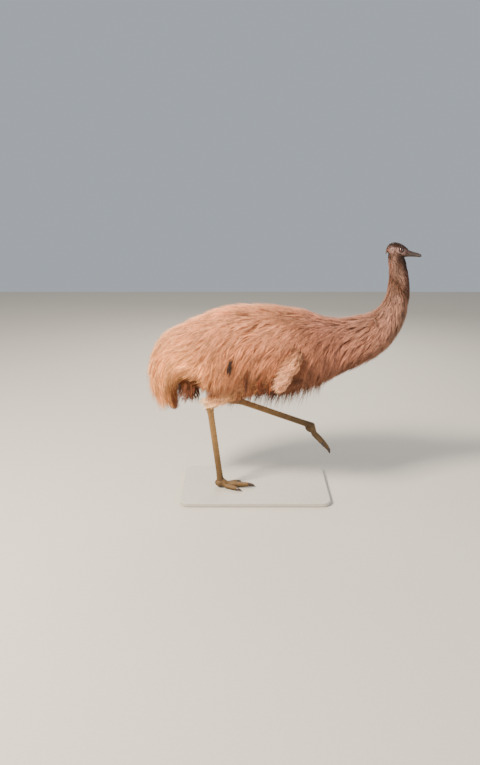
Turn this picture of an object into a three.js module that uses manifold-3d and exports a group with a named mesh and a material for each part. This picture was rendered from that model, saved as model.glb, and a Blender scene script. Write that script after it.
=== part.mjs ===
// An adult emu in mid-run, as a still life-size model on a flat base.
// Millimetres, +Z up. The bird faces +X, so its right side faces -Y.
// The origin is the centre of the underside of the base.
import * as THREE from "three";
import { mergeVertices } from "three/addons/utils/BufferGeometryUtils.js";
import Module from "manifold-3d";

// Driving dimensions.
const GAP = 0.3; // between pieces that touch
const SLIVER = 0.12; // detail finer than this is dropped
const BASE = { length: 780, width: 460, thickness: 24, corner: 40, bevel: 4 };

// The body line runs from the tips of the tail plume to the top of the neck. At each station: its
// place over the ground, how far the tips of the coat reach above, below and beside it, and how far
// the body inside the coat reaches.
const BODY_LINE = [
  { at: [-458, 430], coat: [58, 68, 70], core: [2, 2, 2] },
  { at: [-472, 520], coat: [94, 106, 108], core: [8, 8, 8] },
  { at: [-474, 618], coat: [98, 130, 134], core: [50, 46, 74] },
  { at: [-408, 704], coat: [150, 150, 168], core: [108, 86, 122] },
  { at: [-312, 726], coat: [196, 170, 196], core: [152, 104, 150] },
  { at: [-232, 728], coat: [230, 240, 212], core: [188, 130, 166] },
  { at: [-80, 742], coat: [254, 252, 224], core: [212, 160, 180] },
  { at: [100, 744], coat: [247, 246, 216], core: [207, 158, 174] },
  { at: [250, 753], coat: [218, 216, 188], core: [180, 146, 150] },
  { at: [370, 766], coat: [172, 172, 152], core: [138, 134, 118] },
  { at: [480, 790], coat: [146, 144, 128], core: [116, 114, 98] },
  { at: [590, 838], coat: [122, 120, 104], core: [98, 96, 82] },
  { at: [668, 915], coat: [88, 88, 78], core: [71, 71, 62] },
  { at: [704, 1010], coat: [66, 64, 58], core: [54, 53, 48] },
  { at: [706, 1100], coat: [54, 53, 48], core: [47, 46, 42] },
  { at: [697, 1164], coat: [46, 46, 42], core: [41, 40, 37] },
  { at: [685, 1214], coat: [39, 41, 37], core: [36, 37, 34] },
];
const LAST = BODY_LINE.length - 1;
const CUT = { tail: 3.9, neck: 9.3, throat: 12.7 }; // stations where one node ends and the next starts
const CORE_END = 1.6; // the station where the body inside the tail plume closes
const CORE_SIDES = 12;
const BELLY_COAT = 30; // depth of the short coat under the belly
const SKIRT = { rear: [4.2, 5], front: [8, 9.4], tuck: 0.2 }; // where the flank coat hangs free

const LEG_BONES = { tarsusTop: 28, tarsusShaft: 16.5, footHub: 26 };
const STANCE_LEG = {
  knee: [100, -125, 700],
  hock: [-238, -78, 490],
  foot: [-186, -42, 42],
  toeDirection: [1, -0.04, 0],
  toeUp: [0, 0, 1],
  toeCurl: 0,
  splay: 27,
};
const SWING_LEG = {
  knee: [195, 122, 690],
  hock: [-124, 82, 460],
  foot: [308, 70, 308],
  toeDirection: [0.8, 0.02, -0.6],
  toeUp: [0.6, 0, 0.8],
  toeCurl: 0.0011,
  splay: 15,
};
const TOES = {
  middle: { length: 152, radius: 18, splay: 0, scutes: 4, claw: 34 },
  inner: { length: 98, radius: 14, splay: 1, scutes: 3, claw: 26 },
  outer: { length: 104, radius: 14.5, splay: -1, scutes: 3, claw: 26 },
};
const HEAD = { at: [700, 0, 1252], pitch: 8 };

const COLOURS = {
  plumage: [0x9a7257, 0.95],
  paleDown: [0xbd9272, 0.95],
  neckSkin: [0x8c7468, 0.85],
  headSkin: [0x5a4538, 0.85],
  horn: [0x3d322a, 0.5],
  legScale: [0x75604a, 0.7],
  eye: [0x4a2410, 0.1],
  base: [0xb9b2a6, 0.6],
};

// Small helpers.
const vec = (x, y, z) => new THREE.Vector3(x, y, z);
const radians = THREE.MathUtils.degToRad;
const lerp = THREE.MathUtils.lerp;
const smooth = THREE.MathUtils.smoothstep;

// A seeded random number from -1 to 1, so that every build is alike.
function seededRandom(seed) {
  let state = seed;
  return () => {
    state = (state * 1664525 + 1013904223) >>> 0;
    return (state / 4294967296) * 2 - 1;
  };
}

const kernel = await Module();
kernel.setup();
const { Manifold } = kernel;

// A closed geometry as a solid, turned right side out if its faces point inwards. Points closer than
// the tolerance become one.
function solidOf(geometry, tolerance = 1e-4) {
  const bare = geometry.index ? geometry.toNonIndexed() : geometry.clone();
  bare.deleteAttribute("normal");
  bare.deleteAttribute("uv");
  const merged = mergeVertices(bare, tolerance);
  const triVerts = new Uint32Array(merged.index.array);
  const build = () =>
    new Manifold(
      new kernel.Mesh({
        numProp: 3,
        vertProperties: merged.attributes.position.array,
        triVerts,
      }),
    );
  const solid = build();
  if (solid.volume() > 0) return solid;
  for (let i = 0; i < triVerts.length; i += 3) {
    [triVerts[i + 1], triVerts[i + 2]] = [triVerts[i + 2], triVerts[i + 1]];
  }
  return build();
}

// Draws each point that shares its place with another a little way into the solid, so that surfaces
// which only touch come apart.
function partTouching(geometry) {
  geometry.computeVertexNormals();
  const { position, normal } = geometry.attributes;
  const cell = 2e-3;
  for (const shift of [0, 0.5]) {
    const taken = new Map();
    for (let i = 0; i < position.count; i += 1) {
      const point = vec(0, 0, 0).fromBufferAttribute(position, i);
      const key = point.toArray().map((value) => Math.floor(value / cell + shift)).join();
      const met = taken.get(key) ?? 0;
      taken.set(key, met + 1);
      if (!met) continue;
      point.addScaledVector(vec(0, 0, 0).fromBufferAttribute(normal, i), -0.012 * met);
      position.setXYZ(i, point.x, point.y, point.z);
    }
  }
  return geometry;
}

// The solid's largest closed surface as a geometry, without the slivers that cutting leaves. It drops
// scraps and fills sealed hollows.
function geometryOf(solid) {
  const largest = (body) => body.decompose().sort((a, b) => b.volume() - a.volume())[0];
  const asGeometry = (body) => {
    const mesh = body.getMesh();
    return new THREE.BufferGeometry()
      .setAttribute("position", new THREE.BufferAttribute(mesh.vertProperties, 3))
      .setIndex(new THREE.BufferAttribute(mesh.triVerts, 1));
  };
  let body = largest(solid);
  for (let pass = 0; pass < 3; pass += 1) body = largest(body.simplify(SLIVER));
  return partTouching(asGeometry(body));
}

// A closed skin over rings of points. Each end is closed by a fan to a point: the ring's middle, or
// the tip that is given.
function loft(rings, { startTip, endTip } = {}) {
  const sides = rings[0].length;
  const middle = (ring) => ring.reduce((sum, p) => sum.add(p), vec(0, 0, 0)).divideScalar(sides);
  const points = rings.flat();
  const faces = [];
  rings.slice(1).forEach((_, k) => {
    for (let i = 0; i < sides; i += 1) {
      const a = k * sides + i;
      const b = k * sides + ((i + 1) % sides);
      faces.push(a, b, b + sides, a, b + sides, a + sides);
    }
  });
  const first = points.push(startTip ?? middle(rings[0])) - 1;
  const last = points.push(endTip ?? middle(rings.at(-1))) - 1;
  const top = (rings.length - 1) * sides;
  for (let i = 0; i < sides; i += 1) {
    const next = (i + 1) % sides;
    faces.push(first, next, i, last, top + i, top + next);
  }
  const flat = faces.flatMap((i) => points[i].toArray());
  const geometry = new THREE.BufferGeometry();
  return geometry.setAttribute("position", new THREE.Float32BufferAttribute(flat, 3));
}

const loftSolid = (rings, tips) => solidOf(loft(rings, tips));

// The body line and its two surfaces.
const lineCurve = new THREE.CatmullRomCurve3(BODY_LINE.map(({ at }) => vec(at[0], 0, at[1])));
const sizeCurve = (key) =>
  new THREE.CatmullRomCurve3(BODY_LINE.map((station) => vec(...station[key])), false, "catmullrom");
const coatCurve = sizeCurve("coat");
const coreCurve = sizeCurve("core");

// The point of the body line at a station, with its direction and the direction of the back there.
function frameAt(station) {
  const share = THREE.MathUtils.clamp(station / LAST, 0, 1);
  const along = lineCurve.getTangent(share);
  return { centre: lineCurve.getPoint(share), along, back: vec(-along.z, 0, along.x) };
}

// How far the coat closes under the body: 0 where it hangs as a skirt, 1 where it goes all round.
function wrapAt(station) {
  const rear = 1 - smooth(station, ...SKIRT.rear);
  return Math.max(rear, smooth(station, ...SKIRT.front));
}

// A point round the body line. The angle is 0 at the back, positive on the bird's right side, and
// 180 degrees under the belly. Sizes reach up, down and to the side.
function ringPoint(frame, sizes, angle, wrap) {
  const turn = Math.abs(angle);
  const beyond = Math.max(0, turn - Math.PI / 2) / (Math.PI / 2);
  const roundDown = sizes.y * Math.cos(turn);
  const roundSide = sizes.z * Math.sin(turn);
  const height = beyond ? lerp(-sizes.y * beyond, roundDown, wrap) : sizes.x * Math.cos(turn);
  const hangingSide = sizes.z * (1 - SKIRT.tuck * beyond * beyond);
  const side = beyond ? lerp(hangingSide, roundSide, wrap) : roundSide;
  return frame.centre
    .clone()
    .addScaledVector(frame.back, height)
    .add(vec(0, -Math.sign(angle) * side, 0));
}

// A point between the body, at height 0, and the tips of the coat, at height 1.
function coatPoint(station, angle, height, cling = 0) {
  const frame = frameAt(station);
  const share = THREE.MathUtils.clamp(station / LAST, 0, 1);
  const core = coreCurve.getPoint(share);
  const inner = ringPoint(frame, core, angle, 1);
  const outer = cling
    ? ringPoint(frame, core.clone().addScalar(cling), angle, 1)
    : ringPoint(frame, coatCurve.getPoint(share), angle, wrapAt(station));
  return inner.lerp(outer, height);
}

// The body inside the coat, between two stations. Grow adds to its radius.
function coreRings(from, to, step, grow = 0) {
  const count = Math.max(2, Math.round((to - from) / step));
  return Array.from({ length: count + 1 }, (_, k) => {
    const station = lerp(from, to, k / count);
    const frame = frameAt(station);
    const sizes = coreCurve.getPoint(station / LAST).addScalar(grow);
    return Array.from({ length: CORE_SIDES }, (_, i) => {
      const angle = (i / CORE_SIDES) * 2 * Math.PI - Math.PI;
      return ringPoint(frame, sizes, angle || 1e-9, 1);
    });
  });
}

// One feather lock: a flat, tapered blade along a path of points, each with its outward direction.
// The section is flat below, with two thin edges and a ridge on top, and it narrows to a tip.
const BLADE = { shares: [0, 0.34, 0.66, 0.88], widths: [0.5, 1, 0.88, 0.5] };

function bladeSolid(path, { width, ridge, grow = 0 }) {
  const rings = path.slice(0, -1).map(({ point, outward }, k) => {
    const along = path[k + 1].point.clone().sub(path[Math.max(0, k - 1)].point).normalize();
    const side = along.clone().cross(outward).normalize();
    const up = side.clone().cross(along).normalize();
    const half = (width / 2) * BLADE.widths[k] + grow;
    const rise = ridge * (0.55 + 0.45 * BLADE.widths[k]) + grow;
    const place = (x, z) => point.clone().addScaledVector(side, x).addScaledVector(up, z);
    if (!grow) return [place(half, 0), place(0, rise), place(-half, 0)];
    return [place(half, -grow), place(half, grow), place(0, rise), place(-half, grow), place(-half, -grow)];
  });
  const last = path.at(-1).point;
  const before = path.at(-2).point;
  const tip = last.clone().addScaledVector(last.clone().sub(before).normalize(), 3 * grow);
  return loftSolid(rings, { endTip: tip });
}

// The path of a lock over the coat. It starts sunk in the body and rises to the tips of the coat as
// it runs back along the lie, which turns down by lie(angle) degrees.
function coatPath({ station, angle, length, lie, sink, rise, cling = 0 }) {
  const steps = 24;
  const nudge = 1e-3;
  let [at, round] = [station, angle];
  const track = [];
  for (let k = 0; k <= steps; k += 1) {
    const share = k / steps;
    const here = coatPoint(at, round, 1, cling);
    const alongStation = coatPoint(at + nudge, round, 1, cling).sub(here).divideScalar(nudge);
    const alongAngle = coatPoint(at, round + nudge, 1, cling).sub(here).divideScalar(nudge);
    const outward = alongAngle.clone().cross(alongStation).normalize();
    const height = lerp(-sink, rise, share ** 0.8);
    track.push({ point: coatPoint(at, round, height, cling), outward });
    const down = radians(lie(round));
    at -= (Math.cos(down) * length) / steps / alongStation.length();
    round += (Math.sign(angle) * Math.sin(down) * length) / steps / alongAngle.length();
    at = Math.max(at, 0.02);
  }
  const pick = (share) => track[Math.round(share * steps)];
  return [...BLADE.shares.map(pick), track.at(-1)];
}

// Locks set over a stretch of the body in staggered rows. Each returns its solid and a slightly
// larger guard, which cuts any other node clear of it.
function coatLocks({ from, to, rows, spread, length, width, ridge, lie, widest, cling, seed }) {
  const random = seededRandom(seed);
  const locks = [];
  for (let row = 0; row < rows; row += 1) {
    const station = lerp(from, to, rows > 1 ? row / (rows - 1) : 0);
    const share = rows > 1 ? row / (rows - 1) : 0;
    const size = (range) => lerp(range[0], range[1], share);
    const flank = coatPoint(station, Math.PI / 2, 1, cling);
    const girth = 1.11 * flank.distanceTo(coatPoint(station, 0, 1, cling));
    const count = Math.max(3, Math.round((girth / size(spread)) * (size(widest) / 90) * 2));
    const gapAngle = (2 * radians(size(widest))) / count;
    for (let i = 0; i < count; i += 1) {
      const start = -radians(size(widest)) + (i + (row % 2 ? 0.5 : 0.02)) * gapAngle;
      const angle = start + random() * 0.08 * gapAngle || 1e-6;
      const path = coatPath({
        station: station + random() * 0.04,
        angle,
        length: size(length) * (1 + 0.1 * random()),
        lie: (round) => lie(Math.abs(round)) + 4 * random(),
        sink: 0.35,
        rise: 0.97 + 0.04 * random(),
        cling,
      });
      const blade = { width: size(width) * (1 + 0.08 * random()), ridge: size(ridge) };
      locks.push({
        solid: bladeSolid(path, blade),
        guard: bladeSolid(path, { ...blade, grow: 1.5 * GAP }),
      });
    }
  }
  return locks;
}

const degreesOf = (angle) => (Math.abs(angle) * 180) / Math.PI;

// The torso: its body, the long flank coat that hangs as a skirt, and a short coat under the belly.
const torsoLocks = coatLocks({
  from: 4.15,
  to: 9.25,
  rows: 7,
  spread: [110, 112],
  length: [234, 208],
  width: [102, 100],
  ridge: [9, 8],
  lie: (angle) => lerp(22, 68, smooth(degreesOf(angle), 10, 110)),
  widest: [118, 162],
  seed: 11,
});
const bellyLocks = coatLocks({
  from: 5.2,
  to: 7.6,
  rows: 3,
  spread: [110, 100],
  length: [170, 150],
  width: [92, 84],
  ridge: [7, 7],
  lie: () => 0,
  widest: [180, 180],
  cling: BELLY_COAT,
  seed: 12,
});

// The tail plume: long locks that droop off the rump.
const tailLocks = coatLocks({
  from: 2.3,
  to: 3.65,
  rows: 2,
  spread: [108, 126],
  length: [235, 270],
  width: [82, 106],
  ridge: [9, 9],
  lie: (angle) => lerp(3, 9, smooth(degreesOf(angle), 10, 90)),
  widest: [176, 176],
  seed: 21,
});

// The lower neck: shorter locks that go all round.
const neckLocks = coatLocks({
  from: 9.5,
  to: 12.6,
  rows: 5,
  spread: [108, 74],
  length: [186, 112],
  width: [94, 64],
  ridge: [8, 6],
  lie: (angle) => lerp(6, 22, smooth(degreesOf(angle), 10, 90)),
  widest: [178, 178],
  seed: 31,
});

const join = (solids) => Manifold.union(solids);
const solidsOf = (locks) => locks.map(({ solid }) => solid);
const guardsOf = (locks) => join(locks.map(({ guard }) => guard));
const stationGap = (station) => GAP / lineCurve.getLength() * LAST * (station > 11 ? 1.2 : 0.8);

// The part of the body's coreRings between two cuts, as a solid.
function coreSolid(from, to, step = 0.6, grow = 0) {
  return loftSolid(coreRings(from, to, step, grow));
}

const underBelly = ({ solid }) => {
  const box = solid.boundingBox();
  return (box.min[1] + box.max[1]) / 2 > -130 && (box.min[1] + box.max[1]) / 2 < 130 && box.max[2] < 640;
};
const bellyRow = bellyLocks.filter(underBelly);
const torsoCore = coreSolid(CUT.tail, CUT.neck);
const torsoCoreGuard = coreSolid(CUT.tail, CUT.neck, 0.6, GAP);

// A wing: a thin arm that leaves the flank, hangs outside the coat and ends in a blunt finger, with a
// row of locks along its rear edge.
const WING = {
  root: [212, -142, 800],
  elbow: [196, -214, 742],
  wrist: [150, -226, 672],
  tip: [124, -222, 622],
  radii: [19, 16, 11, 5],
  locks: 4,
};

function wingSolid(mirror, grow = 0) {
  const place = ([x, y, z]) => vec(x, y * mirror, z);
  const path = new THREE.CatmullRomCurve3([WING.root, WING.elbow, WING.wrist, WING.tip].map(place));
  const radius = new THREE.CatmullRomCurve3(WING.radii.map((r, k) => vec(k, r, 0)));
  const outward = vec(0, -mirror, 0);
  const rings = Array.from({ length: 7 }, (_, k) => {
    const share = k / 6;
    const along = path.getTangent(share);
    const across = along.clone().cross(outward).normalize();
    const up = across.clone().cross(along).normalize();
    const r = radius.getPoint(share).y + grow;
    return Array.from({ length: 6 }, (_, i) => {
      const turn = (i / 6) * 2 * Math.PI;
      return path
        .getPoint(share)
        .addScaledVector(across, r * Math.cos(turn))
        .addScaledVector(up, r * 0.7 * Math.sin(turn));
    });
  });
  const random = seededRandom(mirror > 0 ? 41 : 43);
  const locks = Array.from({ length: WING.locks }, (_, k) => {
    const share = lerp(0.3, 0.92, k / (WING.locks - 1));
    const root = path.getPoint(share).addScaledVector(outward, -2);
    const length = lerp(128, 84, k / (WING.locks - 1)) * (1 + 0.08 * random());
    const lean = lerp(-0.95, -0.42, k / (WING.locks - 1));
    const heading = vec(lean, 0, -0.8).normalize();
    const points = [...BLADE.shares, 1].map((t) => ({
      point: root
        .clone()
        .addScaledVector(heading, length * t)
        .add(vec(0, -mirror * (7 * Math.sin(Math.PI * t) - 4 * k * 0.35), -24 * t * t)),
      outward,
    }));
    return bladeSolid(points, { width: 42, ridge: 6, grow });
  });
  return join([loftSolid(rings), ...locks]);
}

const wings = { right: wingSolid(1), left: wingSolid(-1) };
const wingGuards = join([wingSolid(1, GAP), wingSolid(-1, GAP)]);

const torso = join([torsoCore, ...solidsOf(torsoLocks), ...solidsOf(bellyRow)])
  .subtract(guardsOf(neckLocks))
  .subtract(coreSolid(CUT.neck, CUT.throat, 0.6, GAP))
  .subtract(wingGuards);
const tail = join([coreSolid(CORE_END, CUT.tail - stationGap(CUT.tail), 0.5), ...solidsOf(tailLocks)])
  .subtract(guardsOf(torsoLocks))
  .subtract(torsoCoreGuard.translate([-GAP, 0, 0]));
const neckLower = join([
  coreSolid(CUT.neck + stationGap(CUT.neck), CUT.throat, 0.6),
  ...solidsOf(neckLocks),
]);
const neckUpper = coreSolid(CUT.throat + stationGap(CUT.throat), LAST, 0.3);

// A leg. Its frame at each joint: straight bones between the knee, the hock and the foot.
const asVector = (list) => vec(...list);

// A ring across a bone, with its own reach to the front, the rear and the side.
function boneRing(centre, along, { front, rear, side }, sides, grow = 0) {
  const across = vec(0, 1, 0).addScaledVector(along, -along.y).normalize();
  const forward = across.clone().cross(along).normalize();
  if (forward.x < 0) forward.negate();
  return Array.from({ length: sides }, (_, i) => {
    const turn = (i / sides) * 2 * Math.PI;
    const reach = (Math.cos(turn) > 0 ? front : rear) + grow;
    return centre
      .clone()
      .addScaledVector(forward, reach * Math.cos(turn))
      .addScaledVector(across, (side + grow) * Math.sin(turn));
  });
}

// The feathered shank, from inside the body to the hock, with locks that hang towards the hock.
const SHANK = {
  end: 0.74,
  shares: [0, 0.06, 0.16, 0.34, 0.55, 0.8, 1],
  radii: [22, 29, 33, 46, 62, 74, 76],
  rows: [0.34, 0.54],
  perRow: 4,
  lockLength: 118,
  lockWidth: 56,
};

function shankSolid(leg, seed, grow = 0) {
  const [hock, knee] = [asVector(leg.hock), asVector(leg.knee)];
  const along = knee.clone().sub(hock).normalize();
  const start = hock.clone().addScaledVector(along, 20);
  const radiusCurve = new THREE.CatmullRomCurve3(SHANK.shares.map((s, k) => vec(s, SHANK.radii[k], 0)));
  const radiusAt = (share) => {
    const k = SHANK.shares.findLastIndex((s) => s <= share);
    const next = Math.min(k + 1, SHANK.shares.length - 1);
    const span = SHANK.shares[next] - SHANK.shares[k] || 1;
    return radiusCurve.getPoint((k + (share - SHANK.shares[k]) / span) / (SHANK.shares.length - 1)).y;
  };
  const ringAt = (share) => {
    const r = radiusAt(share);
    const reach = { front: r, rear: r, side: r * 0.82 };
    return boneRing(start.clone().lerp(knee, share), along, reach, 10, grow);
  };
  const rings = Array.from({ length: 6 }, (_, k) => ringAt((k / 5) * SHANK.end));
  const random = seededRandom(seed);
  const locks = SHANK.rows.flatMap((rowShare, row) =>
    Array.from({ length: SHANK.perRow }, (_, i) => {
      const turn = ((i + (row % 2) * 0.5) / SHANK.perRow) * 2 * Math.PI + 0.1 * random();
      const forward = boneRing(vec(0, 0, 0), along, { front: 1, rear: 1, side: 1 }, 2)[0];
      const across = forward.clone().cross(along);
      const outward = forward.multiplyScalar(Math.cos(turn)).addScaledVector(across, Math.sin(turn));
      const length = SHANK.lockLength * (1 + 0.1 * random());
      const path = [...BLADE.shares, 1].map((t) => {
        const share = rowShare - (t * length) / knee.distanceTo(start);
        const r = radiusAt(Math.max(share, 0)) + lerp(-7, 13, t);
        const droop = vec(0, 0, -6 * t * t);
        const centre = start.clone().addScaledVector(along, share * knee.distanceTo(start));
        return { point: centre.addScaledVector(outward, r * 0.95).add(droop), outward };
      });
      return bladeSolid(path, { width: SHANK.lockWidth, ridge: 6, grow });
    }),
  );
  return join([loftSolid(rings), ...locks]);
}

// The scaled tarsus, from the hock to the foot, with raised scutes down its front.
const TARSUS = { sides: 9, scutes: 9, scuteStep: 1.5, scuteFrom: 0.12, scuteTo: 0.94 };

function tarsusReach(share) {
  const hockSwell = Math.exp(-((share / 0.085) ** 2));
  const footSwell = Math.exp(-(((1 - share) / 0.075) ** 2));
  const shaft = LEG_BONES.tarsusShaft;
  return {
    front: shaft + (LEG_BONES.tarsusTop - shaft - 3) * hockSwell + 3 * footSwell,
    rear: shaft + (LEG_BONES.tarsusTop - shaft) * hockSwell + 3 * footSwell,
    side: shaft * 0.84 + 11 * hockSwell + 6 * footSwell,
  };
}

function tarsusSolid(leg, grow = 0, [from, to] = [-1, 2]) {
  const [hock, foot] = [asVector(leg.hock), asVector(leg.foot)];
  const along = hock.clone().sub(foot).normalize();
  const shares = [-0.075, -0.055, -0.02, 0.03, 0.08];
  for (let k = 0; k < TARSUS.scutes; k += 1) {
    const at = (n) => lerp(TARSUS.scuteFrom, TARSUS.scuteTo, n / TARSUS.scutes);
    shares.push(at(k) + 0.001, at(k + 1) - 0.001);
  }
  shares.push(0.97, 1.01, 1.035);
  const rings = shares.filter((share) => share >= from && share <= to).map((share, k) => {
    const past = share < 0 ? share / 0.08 : Math.max(0, share - 0.97) / 0.07;
    const cap = Math.sqrt(Math.max(0.04, 1 - past * past));
    const reach = tarsusReach(share);
    const inScutes = share > TARSUS.scuteFrom && share < TARSUS.scuteTo;
    const raised = inScutes && k % 2 === 1 ? TARSUS.scuteStep : 0;
    const sized = { front: (reach.front + raised) * cap, rear: reach.rear * cap, side: reach.side * cap };
    return boneRing(hock.clone().lerp(foot, share), along, sized, TARSUS.sides, grow);
  });
  const hub = new THREE.SphereGeometry(1, 10, 7);
  const forward = asVector(leg.toeDirection).normalize();
  const up = asVector(leg.toeUp).normalize();
  const across = up.clone().cross(forward).normalize();
  const reach = [LEG_BONES.footHub + 4, LEG_BONES.footHub, 21].map((r) => r + grow);
  const matrix = new THREE.Matrix4().makeBasis(
    forward.clone().multiplyScalar(reach[0]),
    across.clone().multiplyScalar(reach[1]),
    up.clone().multiplyScalar(reach[2]),
  );
  hub.applyMatrix4(matrix.setPosition(foot.clone().addScaledVector(up, -16)));
  return to < 1 ? loftSolid(rings) : join([loftSolid(rings), solidOf(hub)]);
}

// A toe in the frame of its foot, with scutes on top and pads below. On the ground its underside is
// flat; in the air it curls. The claw goes on from its end.
function toeFrame(leg, toe) {
  const up = asVector(leg.toeUp).normalize();
  const ahead = asVector(leg.toeDirection).normalize();
  const outward = leg.hock[1] < 0 ? 1 : -1;
  const forward = ahead.applyAxisAngle(up, radians(leg.splay * toe.splay * outward));
  const across = up.clone().cross(forward).normalize();
  const dropTo = 42 - toe.radius * 0.86;
  const pointAt = (s) =>
    asVector(leg.foot)
      .addScaledVector(forward, s)
      .addScaledVector(up, -dropTo * smooth(s, -6, 44) - leg.toeCurl * s * s);
  return { up, forward, across, pointAt };
}

function toeSection(frame, s, { high, low, side }, floor, grow = 0) {
  const ahead = frame.pointAt(s + 1).sub(frame.pointAt(s - 1)).normalize();
  const up = ahead.clone().cross(frame.across).normalize();
  return Array.from({ length: 8 }, (_, i) => {
    const turn = (i / 8) * 2 * Math.PI + Math.PI / 2;
    const reach = (Math.sin(turn) > 0 ? high : low) + grow;
    const point = frame
      .pointAt(s)
      .addScaledVector(up, reach * Math.sin(turn))
      .addScaledVector(frame.across, (side + grow) * Math.cos(turn));
    if (point.z < floor) point.z = floor;
    return point;
  });
}

const groundFor = (leg, grow) => (leg.toeCurl ? -Infinity : -grow);

function toeSolid(leg, toe, grow = 0) {
  const frame = toeFrame(leg, toe);
  const first = 8;
  const stations = [[first, 0]];
  for (let k = 0; k < toe.scutes; k += 1) {
    const at = (n) => lerp(26, toe.length, n / toe.scutes);
    stations.push([at(k) + 0.4, 1.6], [at(k + 1) - 0.4, 0]);
  }
  stations.at(-1)[0] -= 5;
  stations.push([toe.length, 0]);
  const rings = stations.map(([s, raised]) => {
    const share = s / toe.length;
    const taper = toe.radius * (1 - 0.3 * share ** 1.5) * (share > 0.995 ? 0.84 : 1);
    const pad = 1.6 * Math.cos(share * 3 * 2 * Math.PI);
    const reach = { high: taper * 0.86 + raised, low: taper + pad, side: taper };
    return toeSection(frame, s, reach, groundFor(leg, grow), grow);
  });
  return loftSolid(rings);
}

function clawSolid(leg, toe) {
  const frame = toeFrame(leg, toe);
  const radius = toe.radius * 0.62;
  const start = toe.length + GAP;
  const steps = [0, 0.3, 0.6, 0.85];
  const rings = steps.map((share) => {
    const r = radius * (1 - 0.8 * share ** 1.8);
    const sized = { high: r, low: r * 0.7, side: r * 0.9 };
    const ring = toeSection(frame, start + share * toe.claw, sized, -Infinity);
    const lower = -0.16 * toe.claw * share * share;
    return ring.map((p) => {
      const moved = p.addScaledVector(frame.up, lower);
      if (!leg.toeCurl) moved.z = Math.max(moved.z, 0);
      return moved;
    });
  });
  const tip = frame.pointAt(start + toe.claw).addScaledVector(frame.up, -0.2 * toe.claw);
  if (!leg.toeCurl) tip.z = Math.max(tip.z, 1);
  return loftSolid(rings, { endTip: tip });
}

// One leg's named solids, each cut clear of what it grows from.
function legSolids(leg, name, seed) {
  const hubGuard = tarsusSolid(leg, GAP, [0.9, 2]);
  const shank = shankSolid(leg, seed)
    .subtract(torsoCoreGuard)
    .subtract(guardsOf(torsoLocks))
    .subtract(guardsOf(bellyRow))
    .subtract(tarsusSolid(leg, GAP, [-1, 0.3]));
  const middleGuard = toeSolid(leg, TOES.middle, GAP);
  const made = [
    [`shank_${name}`, shank, "paleDown"],
    [`tarsus_${name}`, tarsusSolid(leg), "legScale"],
  ];
  Object.entries(TOES).forEach(([key, toe]) => {
    let solid = toeSolid(leg, toe).subtract(hubGuard);
    if (key !== "middle") solid = solid.subtract(middleGuard);
    made.push([`toe_${key}_${name}`, solid, "legScale"]);
    made.push([`claw_${key}_${name}`, clawSolid(leg, toe), "horn"]);
  });
  return made;
}

// The head, in its own frame: +X along the bill, the origin between the eyes.
const SKULL = [
  { x: -60, up: 9, down: 12, side: 13, lift: 2 },
  { x: -54, up: 20, down: 20, side: 21, lift: 2 },
  { x: -40, up: 29, down: 27, side: 27, lift: 2 },
  { x: -20, up: 32, down: 31, side: 29, lift: 1 },
  { x: 0, up: 30, down: 31, side: 28, lift: 0 },
  { x: 18, up: 25, down: 28, side: 24, lift: -2 },
  { x: 34, up: 18, down: 23, side: 20, lift: -4 },
  { x: 44, up: 14, down: 19, side: 18, lift: -5 },
];
const BILL = {
  base: 44,
  tip: 113,
  mouth: -12,
  widthBase: 17.5,
  widthMid: 14,
  heightUpper: 18,
  heightLower: 11,
};
const EYE = { at: [2, 17, 6], radius: 12.5 };
const EAR = { at: [-27, 25, -8], radius: 5 };

function skullRings() {
  return SKULL.map(({ x, up, down, side, lift }) =>
    Array.from({ length: 14 }, (_, i) => {
      const turn = (i / 14) * 2 * Math.PI;
      const reach = Math.sin(turn) > 0 ? up : down;
      return vec(x, side * Math.cos(turn), lift + reach * Math.sin(turn));
    }),
  );
}

// Half a bill: sections between the mouth line and the top of the upper half, or the keel of the
// lower half, narrowing to a rounded nail at the tip.
function billSolid(half) {
  const upper = half === "upper";
  const tip = upper ? BILL.tip : BILL.tip - 6;
  const rings = [0, 0.2, 0.4, 0.6, 0.78, 0.91, 1].map((share) => {
    const x = lerp(BILL.base + GAP, tip, share);
    const round = Math.sqrt(Math.max(0.03, 1 - share ** 5));
    const halfWidth = lerp(BILL.widthBase, BILL.widthMid * 0.8, share ** 0.8) * round;
    const depth = upper ? lerp(BILL.heightUpper, 9, share ** 0.7) : -lerp(BILL.heightLower, 5, share);
    const height = depth * round;
    const mouth = BILL.mouth + 3.5 * share - 5 * share ** 3 + (upper ? GAP / 2 : -GAP / 2);
    return Array.from({ length: 14 }, (_, i) => {
      const turn = (i / 14) * 2 * Math.PI;
      const flat = Math.sin(turn) > 0 ? Math.sin(turn) : 0.08 * Math.sin(turn);
      return vec(x, halfWidth * Math.cos(turn), mouth + (flat + 0.08) * height);
    });
  });
  return loftSolid(rings);
}

// An ellipsoid as a solid.
function ellipsoid(centre, radii, detail = 10) {
  const ball = new THREE.SphereGeometry(1, detail, Math.round(detail * 0.75));
  ball.scale(...radii);
  ball.translate(...centre);
  return solidOf(ball);
}

// A raised ring, such as the lids or the rim of the ear.
function ringSolid([x, y, z], radius, tube, squash, sides = 12) {
  const torus = new THREE.TorusGeometry(radius, tube, 4, sides);
  torus.rotateX(Math.PI / 2);
  torus.scale(1, 1, squash);
  torus.translate(x, y, z);
  return solidOf(torus);
}

const headMatrix = new THREE.Matrix4().compose(
  asVector(HEAD.at),
  new THREE.Quaternion().setFromEuler(new THREE.Euler(0, radians(HEAD.pitch), 0)),
  vec(1, 1, 1),
);

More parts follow.
